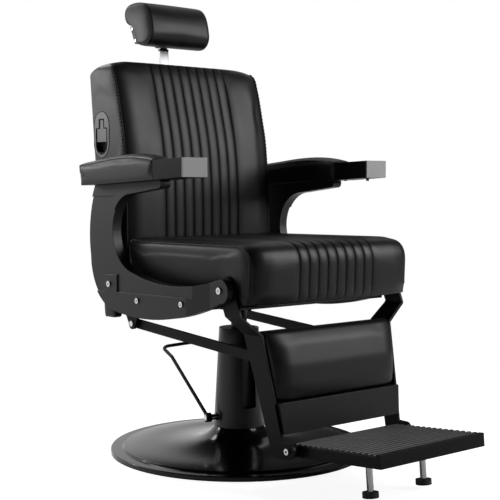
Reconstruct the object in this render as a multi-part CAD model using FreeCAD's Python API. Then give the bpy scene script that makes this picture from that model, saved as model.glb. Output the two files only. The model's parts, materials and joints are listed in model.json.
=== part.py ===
import FreeCAD, Part
import math
import os

# Barber chair, millimetres. Origin on the floor under the column, +Z up.
# The chair faces -Y. The sitter's right is -X. Side outlines are (y, z) points.

V = FreeCAD.Vector
ALONG_X = V(1, 0, 0)
ALONG_Y = V(0, 1, 0)
ALONG_Z = V(0, 0, 1)

# Fits
RUN = 0.05          # radial play of a shaft that turns or slides in its hole
PLAY = 0.5          # side play between flat faces that move past each other
SOFT_GAP = 3.0      # room left beside upholstery
LINK_PLAY = 4.5     # radial play at the open front pivot of the link bars
FAR = 700.0         # reach of a cutting block beyond the piece it trims

# Base
BASE_R = 355.0
FLOOR_PAD_H = 3.0
RIM_H = 13.0
RIM_WIDTH = 31.0
RIM_STEP = 4.5
SHEET = 4.0
DOME_LINE = [(230, 21), (150, 26), (115, 33), (90, 45), (76, 58)]
NECK_R = 68.0
NECK_TOP = 69.0
BALLAST_TOP = 24.0
BALLAST_HUB_R = 90.0

# Pump and column
CYLINDER_R = 45.0
CYLINDER_BORE = 34.0
CYLINDER_TOP = 282.0
CYLINDER_FLOOR = 12.0
FLANGE_R = 60.0
FLANGE_H = 10.0
GLAND_H = 16.0
FLANGE_BOLT_R = 4.0
FLANGE_BOLT_CIRCLE = 52.5
RAM_R = 25.0
RAM_FOOT = 60.0
RAM_SHOULDER = 328.0
PISTON_H = 24.0
SPINDLE_R = 14.0
SPINDLE_H = 60.0
BEARING_H = 4.0
BEARING_R = 24.0
SHROUD_FOOT = NECK_TOP
SHROUD_TOP = 300.0
SHROUD_FOOT_R = 70.0
SHROUD_SLOPE = 0.0553   # radius lost per unit of height
SHROUD_WALL = 3.5
CAP_GAP = 1.0
CAP_TOP = 341.0
SLOT_WIDTH = 40.0
SLOT_FOOT = 124.0
SLOT_HEIGHT = 140.0
GROOVE_SPACING = 11.0
GROOVE_WIDTH = 1.4
PUMP_TURN = -12.0       # the pump is turned this many degrees from the chair's front

# Pump lever, in its own swing plane: u runs out behind, h is height
SHAFT_R = 8.0
SHAFT_H = 96.0
SHAFT_REACH = 104.0
LEVER_PLANE = 95.0
LEVER_R = 5.0
LEVER_EYE_R = 13.0
LEVER_EYE_W = 14.0
LEVER_KNEE = (250.0, 229.0)
LEVER_END = (325.0, 249.0)
LEVER_HANDLE = 140.0
LEVER_HANDLE_RISE = 10.0
LEVER_BEND = 24.0
CRANK = 14.0
CRANK_W = 5.0
CRANK_TIP_R = 4.5
PLUNGER_R = 4.5
PLUNGER_LENGTH = 40.0
BLOCK_CHEEK = 3.4
BLOCK_IN = 43.0
BLOCK_FOOT = 40.0
BLOCK_HALF = 14.0

# Seat
YOKE_R = 22.0
YOKE_PLATE = (120.0, 95.0, 8.0)
YOKE_BOLT = (100.0, 75.0)
YOKE_BOLT_R = 5.0
TRAY_Z = 430.0
TRAY_T = 6.0
TRAY_FLANGE_H = 34.0
TRAY_REAR = 115.0
TRAY_STEP = -235.0
TRAY_FRONT = -300.0
SEAT_HALF = 270.0
TRAY_INSET = 14.0       # the tray's front end inside the seat's side
TRAY_FRONT_HALF = SEAT_HALF - TRAY_INSET
SEAT_TOP_REAR = 590.0
SEAT_TOP = 597.0
SEAT_REAR = 150.0
SEAT_REAR_LOW = 122.0
SEAT_REAR_STEP = 497.0
SEAT_NOSE_R = 69.0
SEAT_FRONT = -389.0
SEAT_TUCK = 14.0
SEAT_LIP = 446.0
LIP_CORNER = (SEAT_HALF - 90.0, 474.0)   # the lip's lower corners are cut back from this x up to this z
SEAT_CORNER = 16.0
SEAT_PITCH = 31.2
CHANNELS = 8
SEAM_DEPTH = 5.0
NOTCH_R = 20.0
NOTCH_DEPTH = 7.0
NOTCH_HALF = SEAT_HALF - NOTCH_DEPTH

# Side frames
SEAT_GAP = 13.5         # seat cushion to side frame
FRAME_IN = SEAT_HALF + SEAT_GAP
FRAME_T = 31.5
FRAME_RECESS = 4.0
FRAME_NOSE_T = 16.5
FRAME_TAPER = (-185.0, -262.0)   # the outer face steps in to the thin nose between these y
BRACKET_NOSE = -76.0
FRAME_TOP_REAR = 238.0
# Runs of the C outline: a point ends a line, a pair is the middle and the end of an arc
BRACKET_LINE = [((-78, 736), (-69, 727)), (60, 712)]
FRAME_INSIDE = [((134, 676), (156, 611)), ((131, 544), (65, 504))]
FRAME_NOSE_MID = (-75, 481.5)
FRAME_OUTSIDE = [((-30, 388), (160, 399)), ((241, 456), (268, 540))]
FRAME_REAR_MID = (270, 640)
RECESS_LINE = [(330, 700), (141, 706), (141, 650), (60, 560), (-266, 540), (-266, 457), (131, 448),
               (131, 495), (190, 490), (190, 446), (330, 440)]
RECLINE = (169.0, 467.0)
SWING = (-300.0, 482.0)
FRAME_BOLTS = [(31.0, 432.0), (-166.0, 439.0)]
BOLT_R = 5.0
BOLT_HEAD_R = 7.2
BOLT_HEAD_H = 4.0
PIVOT_R = 6.5
PIVOT_NUT_R = 12.0
PIVOT_NUT_H = 6.0
BUSH_WALL = 5.0

# Armrests
ARM_OVER = 8.5          # arm pad inside the side frame's inner face
ARM_IN = FRAME_IN - ARM_OVER
ARM_WIDTH = 75.0
PAD_LOW_REAR = (253.0, 732.5)
PAD_LOW_FRONT = (-92.0, 747.5)
PAD_TOP_REAR = (273.0, 786.0)
PAD_CREST = (25.0, 806.0)
PAD_TOP_FRONT = (-92.0, 797.0)
PAD_CROWN = 10.0
BLOCK_FRONT = -217.0
BLOCK_RISE = 4.5
PLATE_T = 4.0
ARM_SCREW_R = 4.0
ARM_SCREW_LENGTH = 26.0
ARM_SCREWS = [-112.0, -200.0]

# Widths shared by the backrest, the linkage and the footrest
LEG_HALF = 195.5        # inner face of a footrest arm at the footplate's pivot
LEG_SPLAY = 0.075       # the arms spread by this much per unit of height
LINK_T = 8.0
RAIL_STEP = 4.5         # backrest rail outside the arm's foot
RAIL_GAP = 4.0          # link bar to backrest rail
LUG_W = 18.8            # footplate edge to footrest arm
RAIL_IN = LEG_HALF + RAIL_STEP
LINK_IN = RAIL_IN - RAIL_GAP - LINK_T
STEP_HALF = LEG_HALF - LUG_W

# Backrest: the rear face passes through BACK_REF and leans back
BACK_REF = (340.0, 811.0)
BACK_LEAN = 6.0
BACK_GAP = 20.0         # back cushion to arm pad
BACK_HALF = ARM_IN - BACK_GAP
BACK_FOOT = 362.0
BACK_STEP = (234.0, 506.0)
# height, channel crown, and how far the side edges stand ahead of it
BACK_FRONT = [(506, 166, 0), (640, 164, 0), (760, 168, 0), (863, 181, 3), (980, 211, 15), (1042, 232, 14)]
BACK_TOP = 1075.0
BACK_CORNER = 9.0
BACK_EDGE = 16.0
BACK_TOP_SLOPE = 9.0
BACK_PITCH = 32.1
BOARD_T = 8.0
BOARD_INSET = 4.0
BOARD_TOP = 1046.0
POCKET_DEEP = 35.0
POCKET_TOP = 1036.0
RAIL_T = 8.0
POCKET_HALF = RAIL_IN + RAIL_T + 22
RAIL_DEEP = 26.0
RAIL_TOP = 1000.0
GUSSET_LOW = 430.0
GUSSET_HIGH = 560.0
FLAT_T = 4.0
FLAT_H = 30.0
FLATS = [560.0, 900.0]
RECLINE_BOSS = 22.0
LINK_BOSS = 16.0

# Recline linkage
LINK_REAR = (222.0, 345.0)
LINK_FRONT = (-318.0, 312.0)
LINK_HEIGHT = 26.0
LINK_PIN_R = 7.0
LINK_COLLAR = 3.5
LINK_HEAD_R = 8.2
SPRING_X = -150.0
SPRING_FRONT = (10.0, 404.0)
SPRING_REAR = (189.0, 377.0)
SPRING_R = 12.0
SPRING_BORE = 9.5
SPRING_LENGTH = 100.0
SPRING_ROD_R = 4.0
SPRING_ROD = 92.0
SPRING_EYE_W = 2 * SPRING_R
SPRING_PIN_R = 5.0
CROSS_BAR_R = 9.0

# Release in the right side of the backrest
RELEASE = (296.0, 875.0)
RELEASE_HALF = 37.0
RELEASE_HEIGHT = 125.0
RELEASE_DEEP = 20.0
RELEASE_PROUD = 2.0
MOUTH_HALF = 28.0
MOUTH_FOOT = 820.0
MOUTH_TOP = 893.0
MOUTH_DEEP = 16.0
STEM_HALF = 10.5
STEM_TOP = 917.0
PADDLE_FOOT = 855.0
TRIGGER_T = 6.0
TRIGGER_GAP = 1.5
TRIGGER_PIN_R = 2.0

# Headrest
POST_W = 30.0
POST_T = 7.0
POST_BACK = 14.0        # post axis ahead of the backrest's rear face
POST_FOOT = 850.0
HINGE_BACK = 10.0       # hinge behind the post axis
SOCKET_WALL = 2.4
SOCKET_LENGTH = 115.0
SOCKET_TOP = POCKET_TOP - 6
SOCKET_PLAY = 0.1
COLLAR_RISE = 57.0      # collar above the backrest's top
COLLAR_H = 6.0
COLLAR_WALL = 0.8
HINGE_RISE = 18.0       # hinge above the collar's foot
COLLAR_FOOT = BACK_TOP + COLLAR_RISE
POST_HINGE = COLLAR_FOOT + HINGE_RISE
KNUCKLE_R = 8.0
KNUCKLE_HALF = 12.0
HINGE_PIN_R = 4.0
LUG_T = 6.0
HEAD_HALF = 105.0
HEAD_MID = (-35.5, 48.4)        # middle of the cushion from the hinge
# The end outline from that middle: the plate's two edges, then arcs as a middle and an end point each
HEAD_PLATE_LOW = (2.7, -54.3)
HEAD_PLATE_HIGH = (30.7, 2.7)
HEAD_ARCS = [((60, 12), (76, 41)), ((65, 60), (36, 68)), ((0, 67.5), (-33, 58)), ((-57, 34), (-66, -2)),
             ((-61, -38), (-38, -58)), ((-18, -61), HEAD_PLATE_LOW)]
HEAD_ENDS = [(0, 0.86), (3, 0.95), (10, 1.0)]   # inset from the end, and the outline's scale there
HEAD_PAN_DEEP = 17.0
HEAD_PLATE_T = 3.0
HEAD_PLATE_HALF = HEAD_HALF - 2
HEAD_SCREW_R = 4.0
HEAD_SCREW_H = 2.0

# Footrest
LEG_T = 7.0
LEG_BEND_TOP = 418.0
LEG_BEND_LOW = 372.0
# Front and rear edges of an arm at the two bends
LEG_BEND_LINE = [(-355.0, LEG_BEND_TOP + 6), (-362.0, LEG_BEND_LOW + 11), (-297.0, LEG_BEND_LOW + 2),
                 (-298.0, LEG_BEND_TOP - 1)]
LEG_EYE_R = 32.0
PANEL_T = 4.0
PANEL_FOOT = (-421.0, 140.0)
PANEL_FOLD = (-412.5, 214.0)
PANEL_SHELF = 36.0
PANEL_TOP = (-346.0, 376.0)
LEG_PAD_FRONT = 40.0
LEG_PAD_BELLY = 12.0
LEG_PAD_GAP = 0.3
LEG_PAD_OVER = 6.0     # pad above the panel's top
LEG_PAD_ENDS = [(0, 0.35), (6, 0.6), (16, 0.82), (40, 1.0)]   # inset from the end, and share of the thickness
STEP_PIVOT = (-438.0, 103.5)
STEP_EYE_R = 22.0
STEP_BOLT_R = 6.0
STEP_HEAD_R = 7.6
STEP_HEAD_H = 5.0

# Footplate, in its own plane: front top edge at STEP_FRONT, tilted up at the front
STEP_FRONT = (-716.5, 144.0)
STEP_TILT = 5.15
STEP_DEPTH = 289.0
STEP_SKIRT = 32.0
STEP_WALL = 4.0
NOSING = 14.0
TREAD_T = 3.0
RIB_H = 3.0
RIBS = 15
LUG_R = 13.0
PROP_X = 91.0
PROP_BACK = 124.0
PROP_R = 8.0
PROP_LENGTH = 104.0
FOOT_R = 19.5
FOOT_H = 13.0


def azimuth(degrees):
    """Level unit vector: 0 points to the front, positive turns to the sitter's left."""
    turn = math.radians(degrees)
    return V(math.sin(turn), -math.cos(turn), 0)


def outline(x, start, *steps):
    """Closed wire in the plane X = x: a step is a point for a line, or a middle and an end for an arc."""
    edges = []
    here = V(x, *start)
    for step in steps + (start,):
        if isinstance(step[0], tuple):
            there = V(x, *step[1])
            edges.append(Part.Arc(here, V(x, *step[0]), there).toShape())
        elif not V(x, *step).isEqual(here, 1e-6):
            there = V(x, *step)
            edges.append(Part.makeLine(here, there))
        here = there
    return Part.Wire(edges)


def slab(x_low, x_high, start, *steps):
    """Plate between two X planes with a side outline."""
    return Part.Face(outline(x_low, start, *steps)).extrude(V(x_high - x_low, 0, 0))


def box(x_low, x_high, y_low, y_high, z_low, z_high):
    """Block between two corners."""
    return Part.makeBox(x_high - x_low, y_high - y_low, z_high - z_low, V(x_low, y_low, z_low))


def bar(radius, x_low, x_high, at):
    """Round bar along X through a side point."""
    return Part.makeCylinder(radius, x_high - x_low, V(x_low, *at), ALONG_X)


def post(radius, z_low, z_high, x=0.0, y=0.0):
    """Round bar along Z."""
    return Part.makeCylinder(radius, z_high - z_low, V(x, y, z_low))


def turned(*points):
    """Solid of revolution about Z from (radius, z) corners."""
    wire = Part.makePolygon([V(r, 0, z) for r, z in points + points[:1]])
    return Part.Face(wire).revolve(V(), ALONG_Z, 360)


def mirrored(shape):
    """The same piece on the other side of the chair."""
    return shape.mirror(V(), ALONG_X)


def pair(shape):
    """Group of a piece and its mirror image."""
    return [shape, mirrored(shape)]


def four(shape):
    """Group of a piece mirrored to the four quarters."""
    return pair(shape) + pair(shape.mirror(V(), ALONG_Y))


def fused(first, *others):
    """One solid from touching pieces."""
    return first.fuse(list(others)).removeSplitter()


def towards(start, end, length):
    """Side point at a length from start on the way to end."""
    reach = math.dist(start, end)
    return tuple(a + (b - a) * length / reach for a, b in zip(start, end))


def sideways(start, end, offset):
    """The segment start to end moved by offset to its left, seen from +X with y to the right."""
    reach = math.dist(start, end)
    move = (-(end[1] - start[1]) * offset / reach, (end[0] - start[0]) * offset / reach)
    return [tuple(a + b for a, b in zip(point, move)) for point in (start, end)]


# Base

def dome_edge(inset):
    """Dome line moved inwards by the sheet, as spline points from the rim step to the neck."""
    step_r = BASE_R - RIM_WIDTH
    line = [(step_r - RIM_STEP, RIM_H + RIM_STEP)] + DOME_LINE + [(NECK_R, NECK_TOP)]
    points = []
    for i, (r, z) in enumerate(line):
        before = line[max(i - 1, 0)]
        after = line[min(i + 1, len(line) - 1)]
        points.append(sideways((r, z), (r + after[0] - before[0], z + after[1] - before[1]), inset)[0])
    return points


def spline(points):
    """Smooth edge in the XZ plane through (radius, z) points."""
    curve = Part.BSplineCurve()
    curve.interpolate([V(r, 0, z) for r, z in points])
    return curve.toShape()


def base_dome():
    """Spun dome with a flat rim ring, a step and a trumpet neck."""
    top = dome_edge(0)
    under = dome_edge(SHEET)
    rim_in = BASE_R - RIM_WIDTH
    rim_under = RIM_H - SHEET
    rim = [(rim_in, RIM_H), (BASE_R - 2, RIM_H), (BASE_R, RIM_H - 2), (BASE_R, FLOOR_PAD_H)]
    inner = [(BASE_R - SHEET, FLOOR_PAD_H), (BASE_R - SHEET, rim_under), (rim_in, rim_under)]
    corners = [V(r, 0, z) for r, z in [top[0]] + rim + inner + [under[0]]]
    edges = [Part.makeLine(a, b) for a, b in zip(corners, corners[1:])]
    edges.append(spline(under))
    lip = [V(r, 0, z) for r, z in (under[-1], (under[-1][0], NECK_TOP), top[-1])]
    edges += [Part.makeLine(a, b) for a, b in zip(lip, lip[1:])]
    edges.append(spline(top))
    return Part.Face(Part.Wire(Part.__sortEdges__(edges))).revolve(V(), ALONG_Z, 360)


def base():
    """Floor pad, ballast and dome."""
    pad_r = BASE_R - SHEET - PLAY
    rim_under = RIM_H - SHEET
    ballast = turned((0, FLOOR_PAD_H), (pad_r, FLOOR_PAD_H), (pad_r, rim_under),
                     (BALLAST_HUB_R + 20, rim_under), (BALLAST_HUB_R, BALLAST_TOP - SHEET),
                     (BALLAST_HUB_R - 10, BALLAST_TOP), (0, BALLAST_TOP))
    return {
        "floor_pad": post(BASE_R - PLAY, 0, FLOOR_PAD_H),
        "base_ballast": ballast.cut(flange_bolts(0)),
        "base_dome": base_dome(),
    }


# Pump and column

def flange_bolts(head_r):
    """Bolts that hold the pump flange to the ballast, bare shanks when the head radius is zero."""
    bolts = []
    for i in range(4):
        at = azimuth(PUMP_TURN + 45 + 90 * i) * FLANGE_BOLT_CIRCLE
        bolt = post(FLANGE_BOLT_R, FLOOR_PAD_H + SHEET, BALLAST_TOP + FLANGE_H, at.x, at.y)
        if head_r:
            head_foot = BALLAST_TOP + FLANGE_H
            bolt = fused(bolt, post(head_r, head_foot, head_foot + FLANGE_BOLT_R, at.x, at.y))
        bolts.append(bolt)
    return bolts


def shroud_radius(z):
    """Outer radius of the tapered column at a height."""
    return SHROUD_FOOT_R - SHROUD_SLOPE * (z - SHROUD_FOOT)


def cone_shell(z_low, z_high):
    """Thin tapered sleeve between two heights."""
    low, high = shroud_radius(z_low), shroud_radius(z_high)
    return turned((low - SHROUD_WALL, z_low), (low, z_low), (high, z_high), (high - SHROUD_WALL, z_high))


def pump_frame(shape):
    """Turn a piece built with the lever shaft along +X and its swing towards +Y to the pump's place."""
    out = azimuth(PUMP_TURN - 90)
    shape = shape.mirror(V(), ALONG_Y)
    shape.rotate(V(), ALONG_Z, math.degrees(math.atan2(out.y, out.x)))
    return shape


def column_shroud():
    """Tapered sleeve with its front slot, two grooves under it and the hole for the lever shaft."""
    shell = cone_shell(SHROUD_FOOT, SHROUD_TOP)
    reach = 2 * SHROUD_FOOT_R
    slot = box(-SLOT_WIDTH / 2, SLOT_WIDTH / 2, -reach, 0, SLOT_FOOT, SLOT_FOOT + SLOT_HEIGHT)
    cuts = [slot]
    for side in (-1, 1):
        middle = side * GROOVE_SPACING / 2
        groove_back = -shroud_radius(SHROUD_FOOT) + SHROUD_WALL / 2
        cuts.append(box(middle - GROOVE_WIDTH / 2, middle + GROOVE_WIDTH / 2, -reach, groove_back,
                        SHROUD_FOOT, SLOT_FOOT))
    for cut in cuts:
        cut.rotate(V(), ALONG_Z, PUMP_TURN)
    hole = pump_frame(bar(SHAFT_R + SOFT_GAP, 0, reach, (0, SHAFT_H)))
    return shell.cut(cuts + [hole])


def pump():
    """Cylinder, gland, shroud and the block that carries the lever shaft and the plunger."""
    foot = BALLAST_TOP
    top = CYLINDER_TOP
    cylinder = turned((0, foot), (FLANGE_R, foot), (FLANGE_R, foot + FLANGE_H), (CYLINDER_R, foot + FLANGE_H),
                      (CYLINDER_R, top), (CYLINDER_BORE, top), (CYLINDER_BORE, foot + CYLINDER_FLOOR),
                      (0, foot + CYLINDER_FLOOR))
    gland = turned((RAM_R + RUN, top - GLAND_H), (CYLINDER_BORE, top - GLAND_H), (CYLINDER_BORE, top),
                   (CYLINDER_R, top), (CYLINDER_R, top + GLAND_H), (RAM_R + RUN, top + GLAND_H))
    window_in = BLOCK_IN + 2 * BLOCK_CHEEK
    window_out = window_in + CRANK_W + 2 * PLAY
    plunger_at = ((window_in + window_out) / 2, CRANK)
    block_top = SHAFT_H + SHAFT_R + 2 * BLOCK_CHEEK
    crank_room = SHAFT_H - SHAFT_R - CRANK
    block_rear = CRANK + PLUNGER_R + BLOCK_CHEEK
    block = box(BLOCK_IN, window_out + BLOCK_CHEEK, -BLOCK_HALF, block_rear, BLOCK_FOOT, block_top)
    window = box(window_in, window_out, -BLOCK_HALF - 1, CRANK + 2 * BLOCK_HALF, crank_room, block_top + 1)
    block = block.cut([window, bar(SHAFT_R + RUN, 0, SHAFT_REACH, (0, SHAFT_H)), post(CYLINDER_R, 0, top),
                       post(PLUNGER_R + RUN, BLOCK_FOOT, block_top, *plunger_at)])
    shaft = bar(SHAFT_R, BLOCK_IN + BLOCK_CHEEK, SHAFT_REACH, (0, SHAFT_H))
    crank_low, crank_high = window_in + PLAY, window_out - PLAY
    crank = fused(box(crank_low, crank_high, 0, CRANK, SHAFT_H - CRANK_TIP_R, SHAFT_H + CRANK_TIP_R),
                  bar(CRANK_TIP_R, crank_low, crank_high, (CRANK, SHAFT_H)))
    plunger_top = SHAFT_H - CRANK_TIP_R - PLAY / 2
    plunger = post(PLUNGER_R, plunger_top - PLUNGER_LENGTH, plunger_top, *plunger_at)
    return {
        "pump_cylinder": cylinder.cut(flange_bolts(0)),
        "pump_base_bolts": flange_bolts(FLANGE_BOLT_R * 1.8),
        "cylinder_gland": gland,
        "column_shroud": column_shroud(),
        "lever_pivot_block": pump_frame(block),
        "lever_shaft": pump_frame(fused(shaft, crank)),
        "pump_plunger": pump_frame(plunger),
    }


def bent_rod(points, radius, bend):
    """Round rod along straight runs joined by tangent arcs."""
    edges = []
    here = points[0]
    for before, corner, after in zip(points, points[1:], points[2:]):
        back = (before - corner).normalize()
        ahead = (after - corner).normalize()
        half = back.getAngle(ahead) / 2
        middle = (back + ahead).normalize()
        start = corner + back * (bend / math.tan(half))
        end = corner + ahead * (bend / math.tan(half))
        crest = corner + middle * (bend / math.sin(half) - bend)
        edges.append(Part.makeLine(here, start))
        edges.append(Part.Arc(start, crest, end).toShape())
        here = end
    edges.append(Part.makeLine(here, points[-1]))
    path = Part.Wire(edges)
    ring = Part.Wire(Part.makeCircle(radius, points[0], points[1] - points[0]))
    return path.makePipeShell([ring], True, False)


def pump_lever():
    """Foot lever: eye on the shaft, long arm, knee and cross handle."""
    eye_low = LEVER_PLANE - LEVER_EYE_W / 2
    eye_high = LEVER_PLANE + LEVER_EYE_W / 2
    knee = V(LEVER_PLANE, *LEVER_KNEE)
    elbow = V(LEVER_PLANE, *LEVER_END)
    end = elbow + V(-LEVER_HANDLE, 0, LEVER_HANDLE_RISE)
    out = (knee - V(LEVER_PLANE, 0, SHAFT_H)).normalize()
    root = V(LEVER_PLANE, 0, SHAFT_H) + out * (SHAFT_R + LEVER_R / 2)
    lever = fused(bar(LEVER_EYE_R, eye_low, eye_high, (0, SHAFT_H)),
                  bent_rod([root, knee, elbow, end], LEVER_R, LEVER_BEND), Part.makeSphere(LEVER_R, end))
    return {"pump_lever": pump_frame(lever.cut(bar(SHAFT_R, 0, SHAFT_REACH + 1, (0, SHAFT_H))))}


def lift():
    """Ram with its piston and the bearing ring that the seat turns on."""
    shoulder = RAM_SHOULDER
    piston_foot = RAM_FOOT - PISTON_H / 2
    ram = fused(post(RAM_R, RAM_FOOT, shoulder), post(SPINDLE_R, shoulder, shoulder + SPINDLE_H))
    piston = post(CYLINDER_BORE - RUN, piston_foot, piston_foot + PISTON_H)
    bearing = post(BEARING_R, shoulder, shoulder + BEARING_H)
    bearing = bearing.cut(post(SPINDLE_R, shoulder, shoulder + BEARING_H))
    return {
        "lift_ram": ram,
        "ram_piston": piston.cut(ram),
        "swivel_bearing": bearing,
    }


# Seat

def yoke_bolts(head_r):
    """Bolts up through the yoke plate into the tray."""
    x, y = YOKE_BOLT
    foot = TRAY_Z - YOKE_PLATE[2]
    bolt = post(YOKE_BOLT_R, foot, TRAY_Z + TRAY_T, x, y)
    if head_r:
        bolt = fused(bolt, post(head_r, foot - YOKE_BOLT_R, foot, x, y))
    return four(bolt)


def seat_mount():
    """Yoke on the spindle, the cap round it and the tray."""
    hub_foot = RAM_SHOULDER + BEARING_H
    half_x, half_y, thick = YOKE_PLATE
    hub = post(YOKE_R, hub_foot, TRAY_Z - thick)
    plate = box(-half_x, half_x, -half_y, half_y, TRAY_Z - thick, TRAY_Z)
    bore = post(SPINDLE_R + RUN, hub_foot, RAM_SHOULDER + SPINDLE_H + PLAY)
    yoke = fused(hub, plate).cut([bore] + yoke_bolts(0))
    cap_foot = SHROUD_TOP + CAP_GAP
    lid_foot = CAP_TOP - SHROUD_WALL
    lid = turned((YOKE_R, lid_foot), (shroud_radius(lid_foot), lid_foot), (shroud_radius(CAP_TOP), CAP_TOP),
                 (YOKE_R, CAP_TOP))
    deck = fused(box(-FRAME_IN, FRAME_IN, TRAY_STEP, TRAY_REAR, TRAY_Z, TRAY_Z + TRAY_T),
                 box(-TRAY_FRONT_HALF, TRAY_FRONT_HALF, TRAY_FRONT, TRAY_STEP, TRAY_Z, TRAY_Z + TRAY_T))
    flange_top = TRAY_Z + TRAY_T + TRAY_FLANGE_H
    flange = box(FRAME_IN - TRAY_T, FRAME_IN, TRAY_STEP, TRAY_REAR, TRAY_Z, flange_top)
    tray = fused(deck, *pair(flange)).cut(yoke_bolts(0) + frame_bolts(0))
    return {
        "seat_yoke": yoke,
        "yoke_bolts": yoke_bolts(YOKE_BOLT_R * 1.8),
        "column_cap": fused(cone_shell(cap_foot, lid_foot), lid),
        "seat_tray": tray,
    }


def quilted(place, half, corner, top, low, pitch, wing=0):
    """Closed section of a channelled cushion. place(x, h) puts a point; the channels lie at height top."""
    seam = top - SEAM_DEPTH
    edge = top + wing
    knots = [(-half, low), (-half, edge - corner), (corner - half, edge - SEAM_DEPTH / 2)]
    knots += [((i - CHANNELS / 2) * pitch, seam) for i in range(CHANNELS + 1)]
    knots += [(half - corner, edge - SEAM_DEPTH / 2), (half, edge - corner), (half, low)]
    shoulder = corner * (1 - math.sqrt(0.5))
    edges = []
    last = len(knots) - 2
    for i, (a, b) in enumerate(zip(knots, knots[1:])):
        if i in (0, last):
            edges.append(Part.makeLine(place(*a), place(*b)))
            continue
        middle = ((a[0] + b[0]) / 2, max(top, (a[1] + b[1]) / 2 + SEAM_DEPTH / 2))
        if i in (1, last - 1):
            middle = (math.copysign(half - shoulder, a[0]), edge - shoulder - SEAM_DEPTH / 4)
        edges.append(Part.Arc(place(*a), place(*middle), place(*b)).toShape())
    edges.append(Part.makeLine(place(*knots[-1]), place(*knots[0])))
    return Part.Wire(edges)


def seat_cushion():
    """Channelled seat whose front rolls over a round nose and tucks in below."""
    roll_y = SEAT_FRONT + SEAT_NOSE_R
    roll_z = SEAT_TOP - SEAT_NOSE_R
    foot = TRAY_Z + TRAY_T

    def across(y, top, low):
        return quilted(lambda x, h: V(x, y, h), SEAT_HALF, SEAT_CORNER, top, low, SEAT_PITCH)

    def level(z, reach):
        return quilted(lambda x, h: V(x, roll_y - h, z), SEAT_HALF, SEAT_CORNER, reach, 0, SEAT_PITCH)

    top = Part.makeLoft([across(SEAT_REAR, SEAT_TOP_REAR, foot), across(roll_y, SEAT_TOP, foot)], True, True)
    nose = Part.Face(across(roll_y, SEAT_TOP, roll_z)).revolve(V(0, roll_y, roll_z), ALONG_X, 90)
    lip = Part.makeLoft([level(roll_z, SEAT_NOSE_R), level(SEAT_LIP, SEAT_NOSE_R - SEAT_TUCK)], True, True)
    wide = SEAT_HALF + 1
    cut_in, cut_up = LIP_CORNER
    corner = [(cut_in, foot - 1), (wide, cut_up), (wide, foot - 1), (cut_in, foot - 1)]
    corner = Part.Face(Part.makePolygon([V(x, SEAT_FRONT - 1, z) for x, z in corner]))
    corner = corner.extrude(V(0, TRAY_STEP - SEAT_FRONT, 0))
    heel = box(-wide, wide, SEAT_REAR_LOW, SEAT_REAR + 1, foot - 1, SEAT_REAR_STEP)
    notches = pair(bar(NOTCH_R, NOTCH_HALF, wide, SWING))
    return fused(top, nose, lip).cut([heel] + notches + pair(corner))


def pad_low(y):
    """Height of the arm pad's underside at a y."""
    slope = (PAD_LOW_FRONT[1] - PAD_LOW_REAR[1]) / (PAD_LOW_FRONT[0] - PAD_LOW_REAR[0])
    return PAD_LOW_REAR[1] + slope * (y - PAD_LOW_REAR[0])


def frame_out(y):
    """X of the side frame's outer face at a y: full thickness behind the taper, thin at the nose."""
    start, end = FRAME_TAPER
    share = min(max((y - start) / (end - start), 0), 1)
    return FRAME_IN + FRAME_T + (FRAME_NOSE_T - FRAME_T) * share


def side_frame():
    """Cast C-shaped frame of the left side, with its raised bracket, boss and thin nose."""
    nose = BRACKET_NOSE
    out = FRAME_IN + FRAME_T
    y, z = SWING
    under_pad = (FRAME_TOP_REAR, pad_low(FRAME_TOP_REAR))
    plate = slab(FRAME_IN, out, under_pad, (nose, pad_low(nose)), *BRACKET_LINE, *FRAME_INSIDE,
                 (FRAME_NOSE_MID, (y - 2, z + 27)), ((y - 33, z - 1), (y - 3, z - 31)), *FRAME_OUTSIDE,
                 (FRAME_REAR_MID, under_pad))
    recess = slab(out - FRAME_RECESS, out + 1, *RECESS_LINE)
    front = y - 2 * PIVOT_NUT_R - 60
    edge = [(out + 1, FRAME_TAPER[0]), (out, FRAME_TAPER[0]), (frame_out(FRAME_TAPER[1]), FRAME_TAPER[1]),
            (frame_out(front), front), (out + 1, front)]
    taper = Part.Face(Part.makePolygon([V(ax, ay, 0) for ax, ay in edge + edge[:1]]))
    taper = taper.extrude(V(0, 0, PAD_LOW_REAR[1] - 40))
    holes = [bar(BOLT_R, FRAME_IN - 1, out, at) for at in FRAME_BOLTS]
    holes += [bar(PIVOT_R, FRAME_IN - 1, out, at) for at in (RECLINE, SWING)]
    return plate.cut([recess, taper] + holes)


def frame_bolts(head_r):
    """Bolts through the side frames into the tray flanges."""
    out = FRAME_IN + FRAME_T
    bolts = []
    for at in FRAME_BOLTS:
        bolt = bar(BOLT_R, FRAME_IN - TRAY_T, out, at)
        if head_r:
            bolt = fused(bolt, bar(head_r, out, out + BOLT_HEAD_H, at))
        bolts += pair(bolt)
    return bolts


def pivot_bolt(at, inner):
    """Shoulder bolt from the outside of a side frame in to its nut behind the plate that turns on it."""
    out = frame_out(at[0])
    nut = inner - PLAY
    return fused(bar(PIVOT_R, nut, out, at), bar(BOLT_HEAD_R + 1, out, out + BOLT_HEAD_H, at),
                 bar(PIVOT_NUT_R, nut - PIVOT_NUT_H, nut, at))


def pivot_bush(at, outer):
    """Spacer on a pivot bolt between the side frame and the plate that turns on it."""
    bush = bar(PIVOT_R + BUSH_WALL, outer + PLAY / 2, FRAME_IN, at)
    return bush.cut(bar(PIVOT_R, outer, FRAME_IN, at))


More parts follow.
